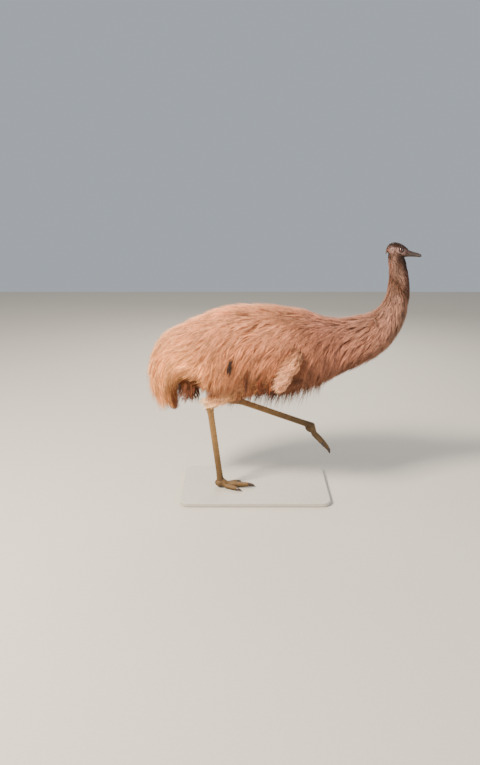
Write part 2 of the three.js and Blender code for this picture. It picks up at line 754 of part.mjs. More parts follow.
// The top of the neck, which goes on into the skull, in the head's frame.
function neckStub() {
  const toHead = headMatrix.clone().invert();
  const rings = coreRings(LAST - 0.35, LAST, 0.35);
  const { centre, along } = frameAt(LAST);
  const ringAt = (travel, grow) =>
    rings.at(-1).map((p) => {
      const reach = p.clone().sub(centre).multiplyScalar(grow);
      return reach.add(centre).addScaledVector(along, travel).applyMatrix4(toHead);
    });
  return loftSolid([ringAt(GAP, 1), ringAt(16, 0.99), ringAt(32, 0.88), ringAt(46, 0.62)]);
}

// Short bristly feathers over the crown and nape.
function crownLocks() {
  const random = seededRandom(51);
  const rows = [
    { x: -6, count: 3 },
    { x: -26, count: 4 },
  ];
  return rows.flatMap(({ x, count }) =>
    Array.from({ length: count }, (_, i) => {
      const turn = radians(lerp(-62, 62, i / (count - 1)) + 6 * random());
      const outward = vec(0, Math.sin(turn), Math.cos(turn));
      const points = [...BLADE.shares, 1].map((t) => {
        const reach = lerp(27, 36, t) - 9 * (Math.abs(x - 34 * t + 10) / 50) ** 2;
        return { point: vec(x - 34 * t, 0, 1).addScaledVector(outward, reach), outward };
      });
      return bladeSolid(points, { width: 15, ridge: 2.4 });
    }),
  );
}

function headSolid() {
  const mirrored = ([x, y, z]) => [
    [x, y, z],
    [x, -y, z],
  ];
  const outFrom = ([x, y, z], travel) => mirrored([x, y + travel, z]);
  const lids = outFrom(EYE.at, 7.5).map((at) => ringSolid(at, EYE.radius - 1, 3, 0.92));
  const rims = outFrom(EAR.at, 1).map((at) => ringSolid(at, EAR.radius, 1.8, 1.2, 8));
  const sockets = mirrored(EYE.at).map((at) => ellipsoid(at, Array(3).fill(EYE.radius + GAP + 0.4), 10));
  const earHoles = outFrom(EAR.at, 3).map((at) => ellipsoid(at, [3.6, 7, 4.4], 8));
  const mouth = new THREE.BoxGeometry(26, 70, 1.4);
  mouth.rotateY(radians(4));
  mouth.translate(BILL.base - 12.9, 0, BILL.mouth - 0.4);
  const neck = coreSolid(CUT.throat + stationGap(CUT.throat), LAST, 0.3, GAP);
  const onward = frameAt(LAST).along.multiplyScalar(GAP).toArray();
  const neckGuard = join([neck, neck.translate(onward)]).transform(headMatrix.clone().invert().elements);
  return join([loftSolid(skullRings()), neckStub(), ...lids, ...rims, ...crownLocks()])
    .subtract(neckGuard)
    .subtract(join([...sockets, ...earHoles, solidOf(mouth)]));
}

function billUpper() {
  const nostrils = [1, -1].map((side) => ellipsoid([72, side * 13.5, BILL.mouth + 8.5], [8, 3.2, 2.6], 8));
  return billSolid("upper").subtract(join(nostrils));
}

function eyeGeometry(side) {
  const ball = new THREE.SphereGeometry(EYE.radius, 12, 8);
  return ball.translate(EYE.at[0], side * EYE.at[1], EYE.at[2]);
}

// The base: a flat slab with round corners.
function baseGeometry() {
  const { length, width, thickness, corner, bevel } = BASE;
  const [halfLength, halfWidth] = [length / 2 - bevel, width / 2 - bevel];
  const outline = new THREE.Shape();
  [
    [halfLength, -halfWidth, -90],
    [halfLength, halfWidth, 0],
    [-halfLength, halfWidth, 90],
    [-halfLength, -halfWidth, 180],
  ].forEach(([x, y, start]) => {
    const cx = x - Math.sign(x) * corner;
    const cy = y - Math.sign(y) * corner;
    outline.absarc(cx, cy, corner, radians(start), radians(start + 90), false);
  });
  const slab = new THREE.ExtrudeGeometry(outline, {
    depth: thickness - 2 * bevel,
    curveSegments: 2,
    bevelThickness: bevel,
    bevelSize: bevel,
    bevelSegments: 1,
  });
  return slab.translate(0, 0, bevel);
}

// The scene graph.
function namedMesh(name, geometry, colour) {
  const [hex, roughness] = COLOURS[colour];
  const material = new THREE.MeshStandardMaterial({ color: hex, roughness, metalness: 0 });
  const mesh = new THREE.Mesh(geometry, material);
  mesh.name = name;
  return mesh;
}

const emu = new THREE.Group();
emu.position.z = BASE.thickness + GAP;
const bodyNodes = [
  ["tail", tail, "plumage"],
  ["torso", torso, "plumage"],
  ["neck_lower", neckLower, "plumage"],
  ["neck_upper", neckUpper, "neckSkin"],
  ["wing_right", wings.right, "paleDown"],
  ["wing_left", wings.left, "paleDown"],
  ...legSolids(STANCE_LEG, "right", 61),
  ...legSolids(SWING_LEG, "left", 63),
];
bodyNodes.forEach(([name, solid, colour]) => emu.add(namedMesh(name, geometryOf(solid), colour)));

const head = new THREE.Group();
head.position.set(...HEAD.at);
head.rotation.y = radians(HEAD.pitch);
head.add(namedMesh("head", geometryOf(headSolid()), "headSkin"));
head.add(namedMesh("bill_upper", geometryOf(billUpper()), "horn"));
head.add(namedMesh("bill_lower", geometryOf(billSolid("lower")), "horn"));
head.add(namedMesh("eye_right", eyeGeometry(-1), "eye"));
head.add(namedMesh("eye_left", eyeGeometry(1), "eye"));
emu.add(head);

const model = new THREE.Group();
model.add(namedMesh("stand_base", baseGeometry(), "base"));
model.add(emu);

export default model;
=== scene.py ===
# %% [markdown]
# # A life-size emu in mid-run
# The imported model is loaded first. It fixes where everything goes: the base, the planted leg, the
# swinging leg, the long line of the body and the head. All that follows dresses that frame with skin,
# feathers, scales and horn. Nothing below changes a size.

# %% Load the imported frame
import math

import bpy
import numpy as np
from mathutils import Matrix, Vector


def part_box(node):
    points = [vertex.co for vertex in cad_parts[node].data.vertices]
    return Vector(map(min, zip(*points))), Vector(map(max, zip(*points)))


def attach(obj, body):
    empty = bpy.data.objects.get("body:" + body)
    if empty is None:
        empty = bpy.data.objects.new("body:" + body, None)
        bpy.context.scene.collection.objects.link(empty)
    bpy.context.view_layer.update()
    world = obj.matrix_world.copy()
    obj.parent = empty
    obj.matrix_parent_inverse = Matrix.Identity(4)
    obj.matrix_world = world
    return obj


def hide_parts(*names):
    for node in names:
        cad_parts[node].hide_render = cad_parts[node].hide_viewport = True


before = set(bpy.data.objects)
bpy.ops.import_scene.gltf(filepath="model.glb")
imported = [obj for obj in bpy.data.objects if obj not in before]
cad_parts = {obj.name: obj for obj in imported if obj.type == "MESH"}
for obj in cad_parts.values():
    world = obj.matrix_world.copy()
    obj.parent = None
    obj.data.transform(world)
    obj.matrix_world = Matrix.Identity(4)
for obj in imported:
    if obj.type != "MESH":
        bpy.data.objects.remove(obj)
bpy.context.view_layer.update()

BASE_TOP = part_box("stand_base")[1][2]
LIFT = BASE_TOP + 0.0003  # the bird's own ground level, a hair above the base
print("nodes", len(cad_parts), "base top", round(BASE_TOP, 4))

# %% [markdown]
# ## The camera
# The photograph was taken from standing height, a few metres to the bird's right. The
# horizon lies far above the bird, so the camera looks down by about 18 degrees. Matching the height of
# the eye and the pitch first means that every later comparison with the photograph is a fair one.

# %% Set the camera
PHOTO_WIDTH, PHOTO_HEIGHT = 480, 765
FOCAL_PIXELS = 680.0
EYE_HEIGHT = 1.65
EYE_DISTANCE = 3.36
EYE_ASIDE = -0.08
HORIZON_ROW = 165.0

pitch = math.atan((PHOTO_HEIGHT / 2 - HORIZON_ROW) / FOCAL_PIXELS)
camera_data = bpy.data.cameras.new("camera")
camera_data.sensor_fit = "VERTICAL"
camera_data.sensor_height = 24.0
camera_data.lens = 24.0 * FOCAL_PIXELS / PHOTO_HEIGHT
camera = bpy.data.objects.new("camera", camera_data)
camera.location = (EYE_ASIDE, -EYE_DISTANCE, EYE_HEIGHT + LIFT)
camera.rotation_euler = (math.pi / 2 - pitch, 0.0, 0.0)
bpy.context.scene.collection.objects.link(camera)
bpy.context.scene.camera = camera
print("pitch", round(math.degrees(pitch), 2), "lens", round(camera_data.lens, 2))

# %% [markdown]
# ## Small tools
# A mesh is made from whole numpy arrays. A grid of points with two parameters is the basis of nearly
# every piece here, so one helper turns such a grid into faces. It can close the grid round, and it can
# shut both ends with a fan, so that a piece is always a closed skin.


# %% Make meshes from arrays
def mesh_from_arrays(name, points, faces):
    """A smooth mesh object from an (n, 3) array of points and an (m, 3 or 4) array of point numbers."""
    mesh = bpy.data.meshes.new(name)
    corners = faces.shape[1]
    mesh.vertices.add(len(points))
    mesh.vertices.foreach_set("co", np.asarray(points, dtype=np.float32).ravel())
    mesh.loops.add(faces.size)
    mesh.loops.foreach_set("vertex_index", faces.astype(np.int32).ravel())
    mesh.polygons.add(len(faces))
    mesh.polygons.foreach_set("loop_start", np.arange(len(faces), dtype=np.int32) * corners)
    mesh.polygons.foreach_set("use_smooth", np.full(len(faces), True))
    mesh.update(calc_edges=True)
    mesh.validate()
    piece = bpy.data.objects.new(name, mesh)
    bpy.context.scene.collection.objects.link(piece)
    return piece


def split_quads(a, b, c, d):
    """Two triangles, abc and acd, for each four-cornered face."""
    return np.concatenate([np.stack([a, b, c], -1).reshape(-1, 3), np.stack([a, c, d], -1).reshape(-1, 3)])


def tube_arrays(rings):
    """Points and triangles of a closed tube over rings of shape (k, n, 3), shut at both ends by a fan
    to each end ring's middle."""
    count, sides, _ = rings.shape
    points = np.concatenate([rings.reshape(-1, 3), rings[:1].mean(1), rings[-1:].mean(1)])
    i = np.arange(sides)
    after = (i + 1) % sides
    k = np.arange(count - 1)[:, None] * sides
    walls = split_quads(k + i, k + after, k + after + sides, k + i + sides)
    first, last, top = count * sides, count * sides + 1, (count - 1) * sides
    start = np.stack([np.full(sides, first), after, i], -1)
    end = np.stack([np.full(sides, last), top + i, top + after], -1)
    faces = np.concatenate([walls, start, end])
    return points, outward_faces(points, faces)


def outward_faces(points, faces):
    """The faces, turned round if the volume they enclose comes out negative. The volume is the sum
    over the triangles of a . (b x c) / 6."""
    a, b, c = (points[faces[:, n]] for n in range(3))
    volume = np.einsum("ij,ij->", a, np.cross(b, c)) / 6
    return faces if volume > 0 else faces[:, ::-1]


def join_arrays(parts):
    """One array of points and one of faces from a list of such pairs."""
    offsets = np.cumsum([0] + [len(points) for points, _ in parts[:-1]])
    points = np.concatenate([points for points, _ in parts])
    faces = np.concatenate([faces + offset for (_, faces), offset in zip(parts, offsets)])
    return points, faces


def unit(vectors):
    """Vectors scaled to length one, along the last axis."""
    return vectors / np.maximum(np.linalg.norm(vectors, axis=-1, keepdims=True), 1e-9)


def ease(value, low, high):
    """Smooth step from 0 at low to 1 at high: 3 t^2 - 2 t^3."""
    t = np.clip((np.asarray(value, dtype=float) - low) / (high - low), 0, 1)
    return t * t * (3 - 2 * t)


def circle(sides):
    """Cosine and sine of evenly spaced turns, once round."""
    turn = np.linspace(0, 2 * np.pi, sides, endpoint=False)
    return np.cos(turn), np.sin(turn)


OFF_ZERO = 1e-6  # turns the rings of the body by a hair, off the exact line where an angle has no sign


def crossed(rows, turns):
    """Every row with every turn, as two grids: one of the rows and one of the turns."""
    return rows[:, None] + 0 * turns, 0 * rows[:, None] + turns


def side_frame(along):
    """Two directions square to the ones along a path: one square to the bird's own sideways direction,
    and one square to both."""
    across = unit(np.cross(along, np.array([0.0, 1.0, 0.0])))
    return across, np.cross(across, along)


def settle(piece, material, slot, *replaced):
    """Gives a piece its material, its place in the frame and the solids that it stands for. The slot is
    not used.
    """
    piece.data.materials.append(material)
    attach(piece, "root")
    if replaced:
        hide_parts(*replaced)
    print(piece.name, "faces", len(piece.data.polygons))


print("tools ready")

# %% [markdown]
# ## The body line
# An emu's body reads as one long stroke: from the tips of the tail plume, over the humped back, along
# the outstretched neck and up to the head. The table gives that stroke station by station, with the
# reach of the bare body and the reach of the coat above, below and beside it. A Catmull-Rom curve
# through the stations gives smooth values in between.

# %% The stations, in metres over the ground
BODY_LINE = np.array(
    [
        # x, z, coat up, down, side, body up, down, side
        [-0.458, 0.430, 0.058, 0.068, 0.070, 0.002, 0.002, 0.002],
        [-0.472, 0.520, 0.094, 0.106, 0.108, 0.008, 0.008, 0.008],
        [-0.474, 0.618, 0.098, 0.130, 0.134, 0.050, 0.046, 0.074],
        [-0.408, 0.704, 0.150, 0.158, 0.168, 0.108, 0.086, 0.122],
        [-0.312, 0.726, 0.196, 0.182, 0.196, 0.152, 0.104, 0.150],
        [-0.232, 0.728, 0.230, 0.240, 0.212, 0.188, 0.130, 0.166],
        [-0.080, 0.742, 0.254, 0.252, 0.224, 0.212, 0.160, 0.180],
        [0.100, 0.744, 0.247, 0.246, 0.216, 0.207, 0.158, 0.174],
        [0.250, 0.753, 0.218, 0.216, 0.188, 0.180, 0.146, 0.150],
        [0.370, 0.766, 0.172, 0.172, 0.152, 0.138, 0.134, 0.118],
        [0.480, 0.790, 0.146, 0.144, 0.128, 0.116, 0.114, 0.098],
        [0.590, 0.838, 0.122, 0.120, 0.104, 0.098, 0.096, 0.082],
        [0.668, 0.915, 0.088, 0.088, 0.078, 0.071, 0.071, 0.062],
        [0.704, 1.010, 0.066, 0.064, 0.058, 0.054, 0.053, 0.048],
        [0.706, 1.100, 0.054, 0.053, 0.048, 0.047, 0.046, 0.042],
        [0.697, 1.164, 0.046, 0.046, 0.042, 0.041, 0.040, 0.037],
        [0.685, 1.214, 0.040, 0.041, 0.038, 0.036, 0.037, 0.034],
        [0.672, 1.256, 0.036, 0.030, 0.033, 0.026, 0.024, 0.024],
    ]
)
LAST = len(BODY_LINE) - 1


def curve_at(columns, station):
    """Values of a Catmull-Rom curve through the columns at each station, with its slope: the cubic
    between two stations whose slope at each is half the step across it."""
    last = len(columns) - 1
    table = np.concatenate([2 * columns[:1] - columns[1:2], columns, 2 * columns[-1:] - columns[-2:-1]])
    station = np.clip(station, 0, last)
    k = np.minimum(np.floor(station).astype(int), last - 1)
    t = (station - k)[..., None]
    p0, p1, p2, p3 = (table[k + n] for n in range(4))
    m1, m2 = (p2 - p0) / 2, (p3 - p1) / 2
    value = (
        (2 * t**3 - 3 * t**2 + 1) * p1
        + (t**3 - 2 * t**2 + t) * m1
        + (-2 * t**3 + 3 * t**2) * p2
        + (t**3 - t**2) * m2
    )
    slope = (
        (6 * t**2 - 6 * t) * p1
        + (3 * t**2 - 4 * t + 1) * m1
        + (-6 * t**2 + 6 * t) * p2
        + (3 * t**2 - 2 * t) * m2
    )
    return value, slope


def skirt_wrap(station):
    """How far the coat closes under the body: 1 at the tail and neck, 0 where it hangs as a skirt."""
    return np.maximum(1 - ease(station, 4.2, 5.0), ease(station, 8.0, 9.4))


def around(station, angle, sizes, wrap):
    """A point round the body line. Above the middle it is an ellipse. Below, it runs from a round
    underside, at wrap 1, to a hanging skirt whose height falls evenly with the angle, at wrap 0."""
    centre, slope = curve_at(BODY_LINE[:, :2], station)
    along = unit(slope)
    turn = np.abs(angle)
    beyond = np.maximum(0, turn - np.pi / 2) / (np.pi / 2)
    below = beyond > 0
    up, down, side = sizes[..., 0], sizes[..., 1], sizes[..., 2]
    hang = (1 - wrap) * -down * beyond + wrap * down * np.cos(turn)
    height = np.where(below, hang, up * np.cos(turn))
    skirt = (1 - wrap) * side * (1 - 0.2 * beyond**2) + wrap * side * np.sin(turn)
    reach = np.where(below, skirt, side * np.sin(turn))
    x = centre[..., 0] - along[..., 1] * height
    z = centre[..., 1] + along[..., 0] * height + LIFT
    return np.stack([x, -np.sign(angle) * reach, z], -1)


def coat_point(station, angle, height, cling=0.0):
    """A point between the body, at height 0, and the tips of the coat, at height 1. With cling, the
    coat is a short one of that depth, all round."""
    sizes, _ = curve_at(BODY_LINE[:, 2:], station)
    inner = around(station, angle, sizes[..., 3:], np.ones_like(station))
    if cling:
        outer = around(station, angle, sizes[..., 3:] + cling, np.ones_like(station))
    else:
        outer = around(station, angle, sizes[..., :3], skirt_wrap(station))
    return inner + (outer - inner) * np.asarray(height)[..., None]


line_length = np.linalg.norm(np.diff(BODY_LINE[:, :2], axis=0), axis=1).sum()
print("length along the body line", round(float(line_length), 3), "m")

# %% [markdown]
# ## Colours
# The coat is a warm grey-brown, painted paler towards straw on the back, partly as painted sunlight,
# and darker on the underside, partly as painted shade. The rump and the tail are the palest, the
# shoulders and the neck are duller and darker, and the throat and crown are nearly black-brown. These
# named colours feed both the skin and the feathers, so the markings agree wherever the skin shows
# between the feathers.


# %% The palette, the markings and the painted shade
def srgb(code):
    """Linear colour from a six-digit screen colour: ((c + 0.055) / 1.055) ^ 2.4 above 0.04045."""
    c = np.array([int(code[n : n + 2], 16) / 255 for n in (0, 2, 4)])
    return np.where(c <= 0.04045, c / 12.92, ((c + 0.055) / 1.055) ** 2.4)


# the back's paler tones are partly painted sunlight and the underside's darker tones partly painted shade,
# over the coat's own tones
PLUMAGE_BY_STATION = [
    # station, colour of the back, of the flank, of the underside
    (0.0, "f6b071", "f6aa68", "a86638"),
    (2.0, "f2ae72", "f4aa6a", "8e5028"),
    (4.0, "eeac7a", "f0ac6e", "80421e"),
    (6.0, "e09e72", "c48054", "6e3210"),
    (8.0, "c08664", "ac7050", "60300f"),
    (9.5, "a66e56", "9e664e", "7a4c32"),
    (11.0, "a8735b", "ac745a", "8e5e48"),
    (12.5, "a67660", "a87862", "96705a"),
    (13.6, "8e6450", "8e6654", "694232"),
    (14.8, "845b49", "8a6654", "4a2a1e"),
    (16.0, "6a4638", "7a5a4c", "341c14"),
    (17.0, "3c251b", "644638", "3a2218"),
]


def plumage_colour(station, angle):
    """Linear colour of the coat: the three tones of the nearest two stations, mixed from the back over
    the flank to the underside by the angle."""
    rows = np.array([row[0] for row in PLUMAGE_BY_STATION])
    tones = np.array([[srgb(code) for code in row[1:]] for row in PLUMAGE_BY_STATION])
    k = np.clip(np.searchsorted(rows, station) - 1, 0, len(rows) - 2)
    t = np.clip((station - rows[k]) / (rows[k + 1] - rows[k]), 0, 1)[..., None]
    back, flank, under = (tones[k, n] * (1 - t) + tones[k + 1, n] * t for n in range(3))
    to_flank = ease(np.abs(angle), 0.25, 1.3)[..., None]
    to_under = ease(np.abs(angle), 1.35, 2.35)[..., None]
    return (back * (1 - to_flank) + flank * to_flank) * (1 - to_under) + under * to_under


MARKINGS_AND_SHADE = [
    # x, z over the ground, half length along x and z, half width, shade (under 1 dark, over 1 pale)
    # painted shade where the coat stands open: the slit and the lines of the lower flank
    (-0.129, 0.718, 0.002, 0.026, 0.009, 0.16),  # dark slit in the flank
    (-0.051, 0.620, 0.003, 0.065, 0.013, 0.36),  # line in the lower flank
    (0.024, 0.610, 0.004, 0.058, 0.021, 0.40),
    (0.085, 0.600, -0.010, 0.055, 0.014, 0.48),
    (0.180, 0.655, 0.045, 0.090, 0.052, 0.60),  # shade under the wing
    (0.150, 0.925, 0.110, -0.055, 0.040, 0.80),  # dull saddle between back and shoulder
    (0.330, 0.800, 0.100, -0.010, 0.050, 0.84),
    # painted shade where the coat is ruffled at the base of the neck
    (0.589, 0.918, 0.012, 0.030, 0.012, 0.60),  # ruffled marks at the base of the neck
    (0.560, 0.885, 0.014, 0.026, 0.010, 0.70),
    (0.704, 1.076, 0.045, -0.054, 0.020, 0.34),  # dark band across the neck
    (0.728, 1.125, 0.014, 0.045, 0.016, 1.85),  # pale throat
    (0.662, 1.190, 0.008, 0.052, 0.022, 2.1),  # pale nape
    (0.697, 1.206, 0.008, 0.038, 0.022, 0.34),  # dark jaw and throat
    (-0.270, 0.600, 0.040, 0.120, 0.060, 1.16),  # pale thigh
    (0.080, 0.540, 0.210, 0.004, 0.062, 0.50),  # shaded hem of the flank
    (0.050, 0.600, 0.090, 0.000, 0.060, 0.76),
    (-0.350, 0.560, 0.010, 0.060, 0.035, 0.55),  # shade between the plume and the thigh
]


def markings_and_shade(points):
    """Factor of the local markings and of the painted shade at points, for red, green and blue: each mark
    is a long bell on the side view, and the dark ones take more from blue than from red. They are weaker
    on the left side."""
    factor = np.ones(points.shape[:-1])
    side = np.where(points[..., 1] < 0.015, 1.0, 0.5)
    for x, z, long_x, long_z, width, shade in MARKINGS_AND_SHADE:
        length = math.hypot(long_x, long_z)
        dx, dz = points[..., 0] - x, points[..., 2] - z - LIFT
        a = (dx * long_x + dz * long_z) / length**2
        b = (dx * long_z - dz * long_x) / length / width
        factor = factor * (1 + (shade - 1) * side * np.exp(-(a**2) - b**2))
    return factor[..., None] ** np.where(factor[..., None] < 1, np.array([1.0, 1.3, 1.65]), 1.0)


print("plumage stations", len(PLUMAGE_BY_STATION), "markings_and_shade", len(MARKINGS_AND_SHADE))


# %% Materials of the coat and skin
def new_material(name):
    """A named material, its node tree, and its Principled shader."""
    material = bpy.data.materials.new(name)
    material.use_nodes = True
    tree = material.node_tree
    return material, tree, tree.nodes["Principled BSDF"]


def object_noise(tree, scale, detail, stretch=(1, 1, 1)):
    """Noise over Object coordinates, stretched by a Mapping node."""
    where = tree.nodes.new("ShaderNodeTexCoord")
    mapping = tree.nodes.new("ShaderNodeMapping")
    mapping.inputs["Scale"].default_value = stretch
    noise = tree.nodes.new("ShaderNodeTexNoise")
    noise.inputs["Scale"].default_value = scale
    noise.inputs["Detail"].default_value = detail
    tree.links.new(where.outputs["Object"], mapping.inputs["Vector"])
    tree.links.new(mapping.outputs["Vector"], noise.inputs["Vector"])
    return noise


def object_cells(tree, scale, feature):
    """A cell pattern over Object coordinates."""
    where = tree.nodes.new("ShaderNodeTexCoord")
    cells = tree.nodes.new("ShaderNodeTexVoronoi")
    cells.feature = feature
    cells.inputs["Scale"].default_value = scale
    tree.links.new(where.outputs["Object"], cells.inputs["Vector"])
    return cells.outputs["Distance"]


def add_bump(tree, height, strength, distance):
    """Lets a height tilt the shading of the tree's Principled shader."""
    tilt = tree.nodes.new("ShaderNodeBump")
    tilt.inputs["Strength"].default_value = strength
    tilt.inputs["Distance"].default_value = distance
    tree.links.new(height, tilt.inputs["Height"])
    tree.links.new(tilt.outputs["Normal"], tree.nodes["Principled BSDF"].inputs["Normal"])


def painted_colour(tree):
    """The colour that the mesh carries point by point in its Tint attribute."""
    tint = tree.nodes.new("ShaderNodeAttribute")
    tint.attribute_name = "Tint"
    return tint.outputs["Color"]


def tint_by_noise(tree, colour_socket, noise, dark, light):
    """The colour times a grey that runs from dark to light with the noise."""
    ramp = tree.nodes.new("ShaderNodeMapRange")
    ramp.inputs["From Min"].default_value = 0.3
    ramp.inputs["From Max"].default_value = 0.7
    ramp.inputs["To Min"].default_value = dark
    ramp.inputs["To Max"].default_value = light
    scale = tree.nodes.new("ShaderNodeVectorMath")
    scale.operation = "SCALE"
    tree.links.new(noise.outputs["Fac"], ramp.inputs["Value"])
    tree.links.new(colour_socket, scale.inputs[0])
    tree.links.new(ramp.outputs["Result"], scale.inputs["Scale"])
    return scale.outputs["Vector"]


def coat_material(name, roughness, sheen, dark=0.8, light=1.18):
    """Feathers: the colour comes from the mesh's own Tint attribute, broken up by fine noise."""
    material, tree, shader = new_material(name)
    noise = object_noise(tree, scale=38.0, detail=5.0)
    colour = tint_by_noise(tree, painted_colour(tree), noise, dark, light)
    tree.links.new(colour, shader.inputs["Base Color"])
    shader.inputs["Roughness"].default_value = roughness
    shader.inputs["Specular IOR Level"].default_value = 0.28
    shader.inputs["Sheen Weight"].default_value = sheen
    shader.inputs["Sheen Roughness"].default_value = 0.5
    shader.inputs["Sheen Tint"].default_value = (1.0, 0.86, 0.7, 1.0)
    return material


FEATHER = coat_material("feather", roughness=0.72, sheen=0.12, dark=1.0, light=1.5)
BRISTLE = coat_material("bristle", roughness=0.55, sheen=0.05, dark=0.9, light=1.3)
print("coat materials ready")

# %% [markdown]
# ## The skin under the coat
# The real bird has one skin from tail to head. It hardly shows, but it has to be there: it is what the
# eye meets in the dark gaps between the feathers. It is the bare body of the table above, swept along
# the line, with the two feathered shanks and the small wings grown into it. The three shapes are made
# as closed skins and fused by a voxel remesh, which leaves no seam.


# %% The bare body, shanks and wing arms
def place(x, y, z):
    """A point over the bird's own ground level."""
    return np.array([x, y, z + LIFT])


STANCE = {
    "knee": place(0.100, -0.125, 0.700),
    "hock": place(-0.238, -0.078, 0.490),
    "foot": place(-0.186, -0.042, 0.042),
}
SWING = {
    "knee": place(0.195, 0.122, 0.690),
    "hock": place(-0.124, 0.082, 0.460),
    "foot": place(0.308, 0.070, 0.308),
}


def bare_body(stations, turns, fit=1.0):
    """Rings of the bare body at the stations, with each reach times the fit."""
    station, angle = crossed(stations, turns + OFF_ZERO)
    sizes, _ = curve_at(BODY_LINE[:, 5:], station)
    return around(station, angle, sizes * fit, np.ones_like(station))


def path_tube(path, radii, sides, flat):
    """Rings round a path of points: each ring lies square to the path, r across and r times flat
    through, from the path's own direction and a fixed sideways direction."""
    across, through = side_frame(unit(np.gradient(path, axis=0)))
    c, s = circle(sides)
    ring = across[:, None] * c[None, :, None] + through[:, None] * flat * s[None, :, None]
    return path[:, None] + ring * np.asarray(radii)[:, None, None]


SHANK_SHARES = np.array([0, 0.06, 0.16, 0.34, 0.55, 0.8, 1.0])
SHANK_RADII = np.array([0.021, 0.024, 0.028, 0.040, 0.056, 0.070, 0.074])


def shank_radius(share):
    """Radius of the drumstick at a share of the way from the hock to the knee, from the table."""
    return np.interp(share, SHANK_SHARES, SHANK_RADII)


def shank_rings(leg):
    """The drumstick from the hock to the knee, which swells along the bone."""
    share = np.linspace(0.03, 0.95, 24)
    path = leg["hock"] + share[:, None] * (leg["knee"] - leg["hock"])
    return path_tube(path, shank_radius(share), sides=24, flat=0.82)


WING_PATH = np.array(  # shoulder, elbow, wrist and finger tip, on the right side
    [
        [0.212, -0.142, 0.800],
        [0.196, -0.214, 0.742],
        [0.150, -0.226, 0.672],
        [0.124, -0.222, 0.622],
    ]
)
WING_RADII = np.array([0.019, 0.015, 0.010, 0.005])
WING_STEPS = np.linspace(0, 3, 28)  # from 0 at the shoulder to 3 at the finger tip


def wing_path(mirror):
    """The small arm of the wing: straight pieces between the four places, and then each inner point
    moved six times to the mean of itself and its neighbours."""
    keys = WING_PATH * np.array([1, mirror, 1]) + np.array([0, 0, LIFT])
    path = np.stack([np.interp(WING_STEPS, np.arange(4), keys[:, n]) for n in range(3)], -1)
    for _ in range(6):
        path = np.concatenate([path[:1], (path[:-2] + path[1:-1] + path[2:]) / 3, path[-1:]])
    return path


def wing_radius(step):
    """Radius of the arm at a step between 0, the shoulder, and 3, the finger tip."""
    return np.interp(step, np.arange(4), WING_RADII)


def wing_rings(mirror):
    """The arm as rings, flatter than they are wide."""
    return path_tube(wing_path(mirror), wing_radius(WING_STEPS), sides=16, flat=0.7)


body_rings = bare_body(np.linspace(1.35, LAST, 120), np.linspace(-np.pi, np.pi, 49)[:-1])
grown = [body_rings, shank_rings(STANCE), shank_rings(SWING), wing_rings(1), wing_rings(-1)]
skin_parts = [tube_arrays(rings) for rings in grown]
print("skin parts", len(skin_parts), "points", sum(len(p) for p, _ in skin_parts))


# %% Fuse them into one skin
def fused(name, parts, voxel, smooth_rounds):
    """One closed mesh from overlapping closed parts: a voxel remesh, then a smoothing pass, both
    applied."""
    rough = mesh_from_arrays(name + "_rough", *join_arrays(parts))
    remesh = rough.modifiers.new("remesh", "REMESH")
    remesh.mode = "VOXEL"
    remesh.voxel_size = voxel
    relax = rough.modifiers.new("smooth", "SMOOTH")
    relax.iterations = smooth_rounds
    relax.factor = 0.5
    graph = bpy.context.evaluated_depsgraph_get()
    mesh = bpy.data.meshes.new_from_object(rough.evaluated_get(graph))
    mesh.name = name
    piece = bpy.data.objects.new(name, mesh)
    bpy.context.scene.collection.objects.link(piece)
    bpy.data.objects.remove(rough)
    mesh.polygons.foreach_set("use_smooth", np.full(len(mesh.polygons), True))
    return piece


def points_of(piece):
    """The (n, 3) array of a piece's points."""
    points = np.empty(len(piece.data.vertices) * 3, dtype=np.float32)
    piece.data.vertices.foreach_get("co", points)
    return points.reshape(-1, 3).astype(float)


def station_of(points):
    """The nearest station of the body line to each point, and the angle round it there."""
    samples = np.linspace(0, LAST, 260)
    line, slope = curve_at(BODY_LINE[:, :2], samples)
    line = line + np.array([0, LIFT])
    gap = np.linalg.norm(points[:, None, ::2] - line[None], axis=2)
    k = gap.argmin(1)
    along = unit(slope[k])
    offset = points[:, ::2] - line[k]
    height = -along[:, 1] * offset[:, 0] + along[:, 0] * offset[:, 1]
    return samples[k], np.arctan2(-points[:, 1], height)


def paint(piece, colours):
    """Stores a linear colour per point as the mesh's Tint attribute."""
    layer = piece.data.color_attributes.new("Tint", "FLOAT_COLOR", "POINT")
    rgba = np.ones((len(colours), 4), dtype=np.float32)
    rgba[:, :3] = colours
    layer.data.foreach_set("color", rgba.ravel())


SKIN_SHADE = 0.42  # the skin lies in the shade of the coat
skin = fused("skin", skin_parts, voxel=0.006, smooth_rounds=4)
paint(skin, plumage_colour(*station_of(points_of(skin))) * markings_and_shade(points_of(skin)) * SKIN_SHADE)
print("skin points", len(skin.data.vertices))


# %% The skin's material
def skin_material():
    """Dull skin in the colour of the coat above it, with a fine pimpled surface where feathers root."""
    material = coat_material("under_skin", roughness=0.8, sheen=0.0)
    tree = material.node_tree
    add_bump(tree, object_cells(tree, 170.0, "F1"), strength=0.4, distance=0.002)
    return material


feathered = ["torso", "tail", "neck_lower", "neck_upper"]
feathered += ["shank_right", "shank_left", "wing_right", "wing_left"]
settle(skin, skin_material(), "plumage", *feathered)

# %% [markdown]
# ## The coat
# An emu's feather has two equal shafts and barbs that don't hook together, so the coat hangs like wet
# hay rather than lying like scales. It parts along the back and falls down both sides. Each tuft here
# is a small bundle of thin, solid, tapering strands. A tuft starts sunk in the skin, and it follows the
# lie of the coat: along the body at the back, and ever more downwards over the flank. All tufts of a
# patch are worked out at once, as arrays over tuft, strand and step.


# %% Where the tufts root
NUDGE = 1e-3  # step in station or angle over which a slope is measured


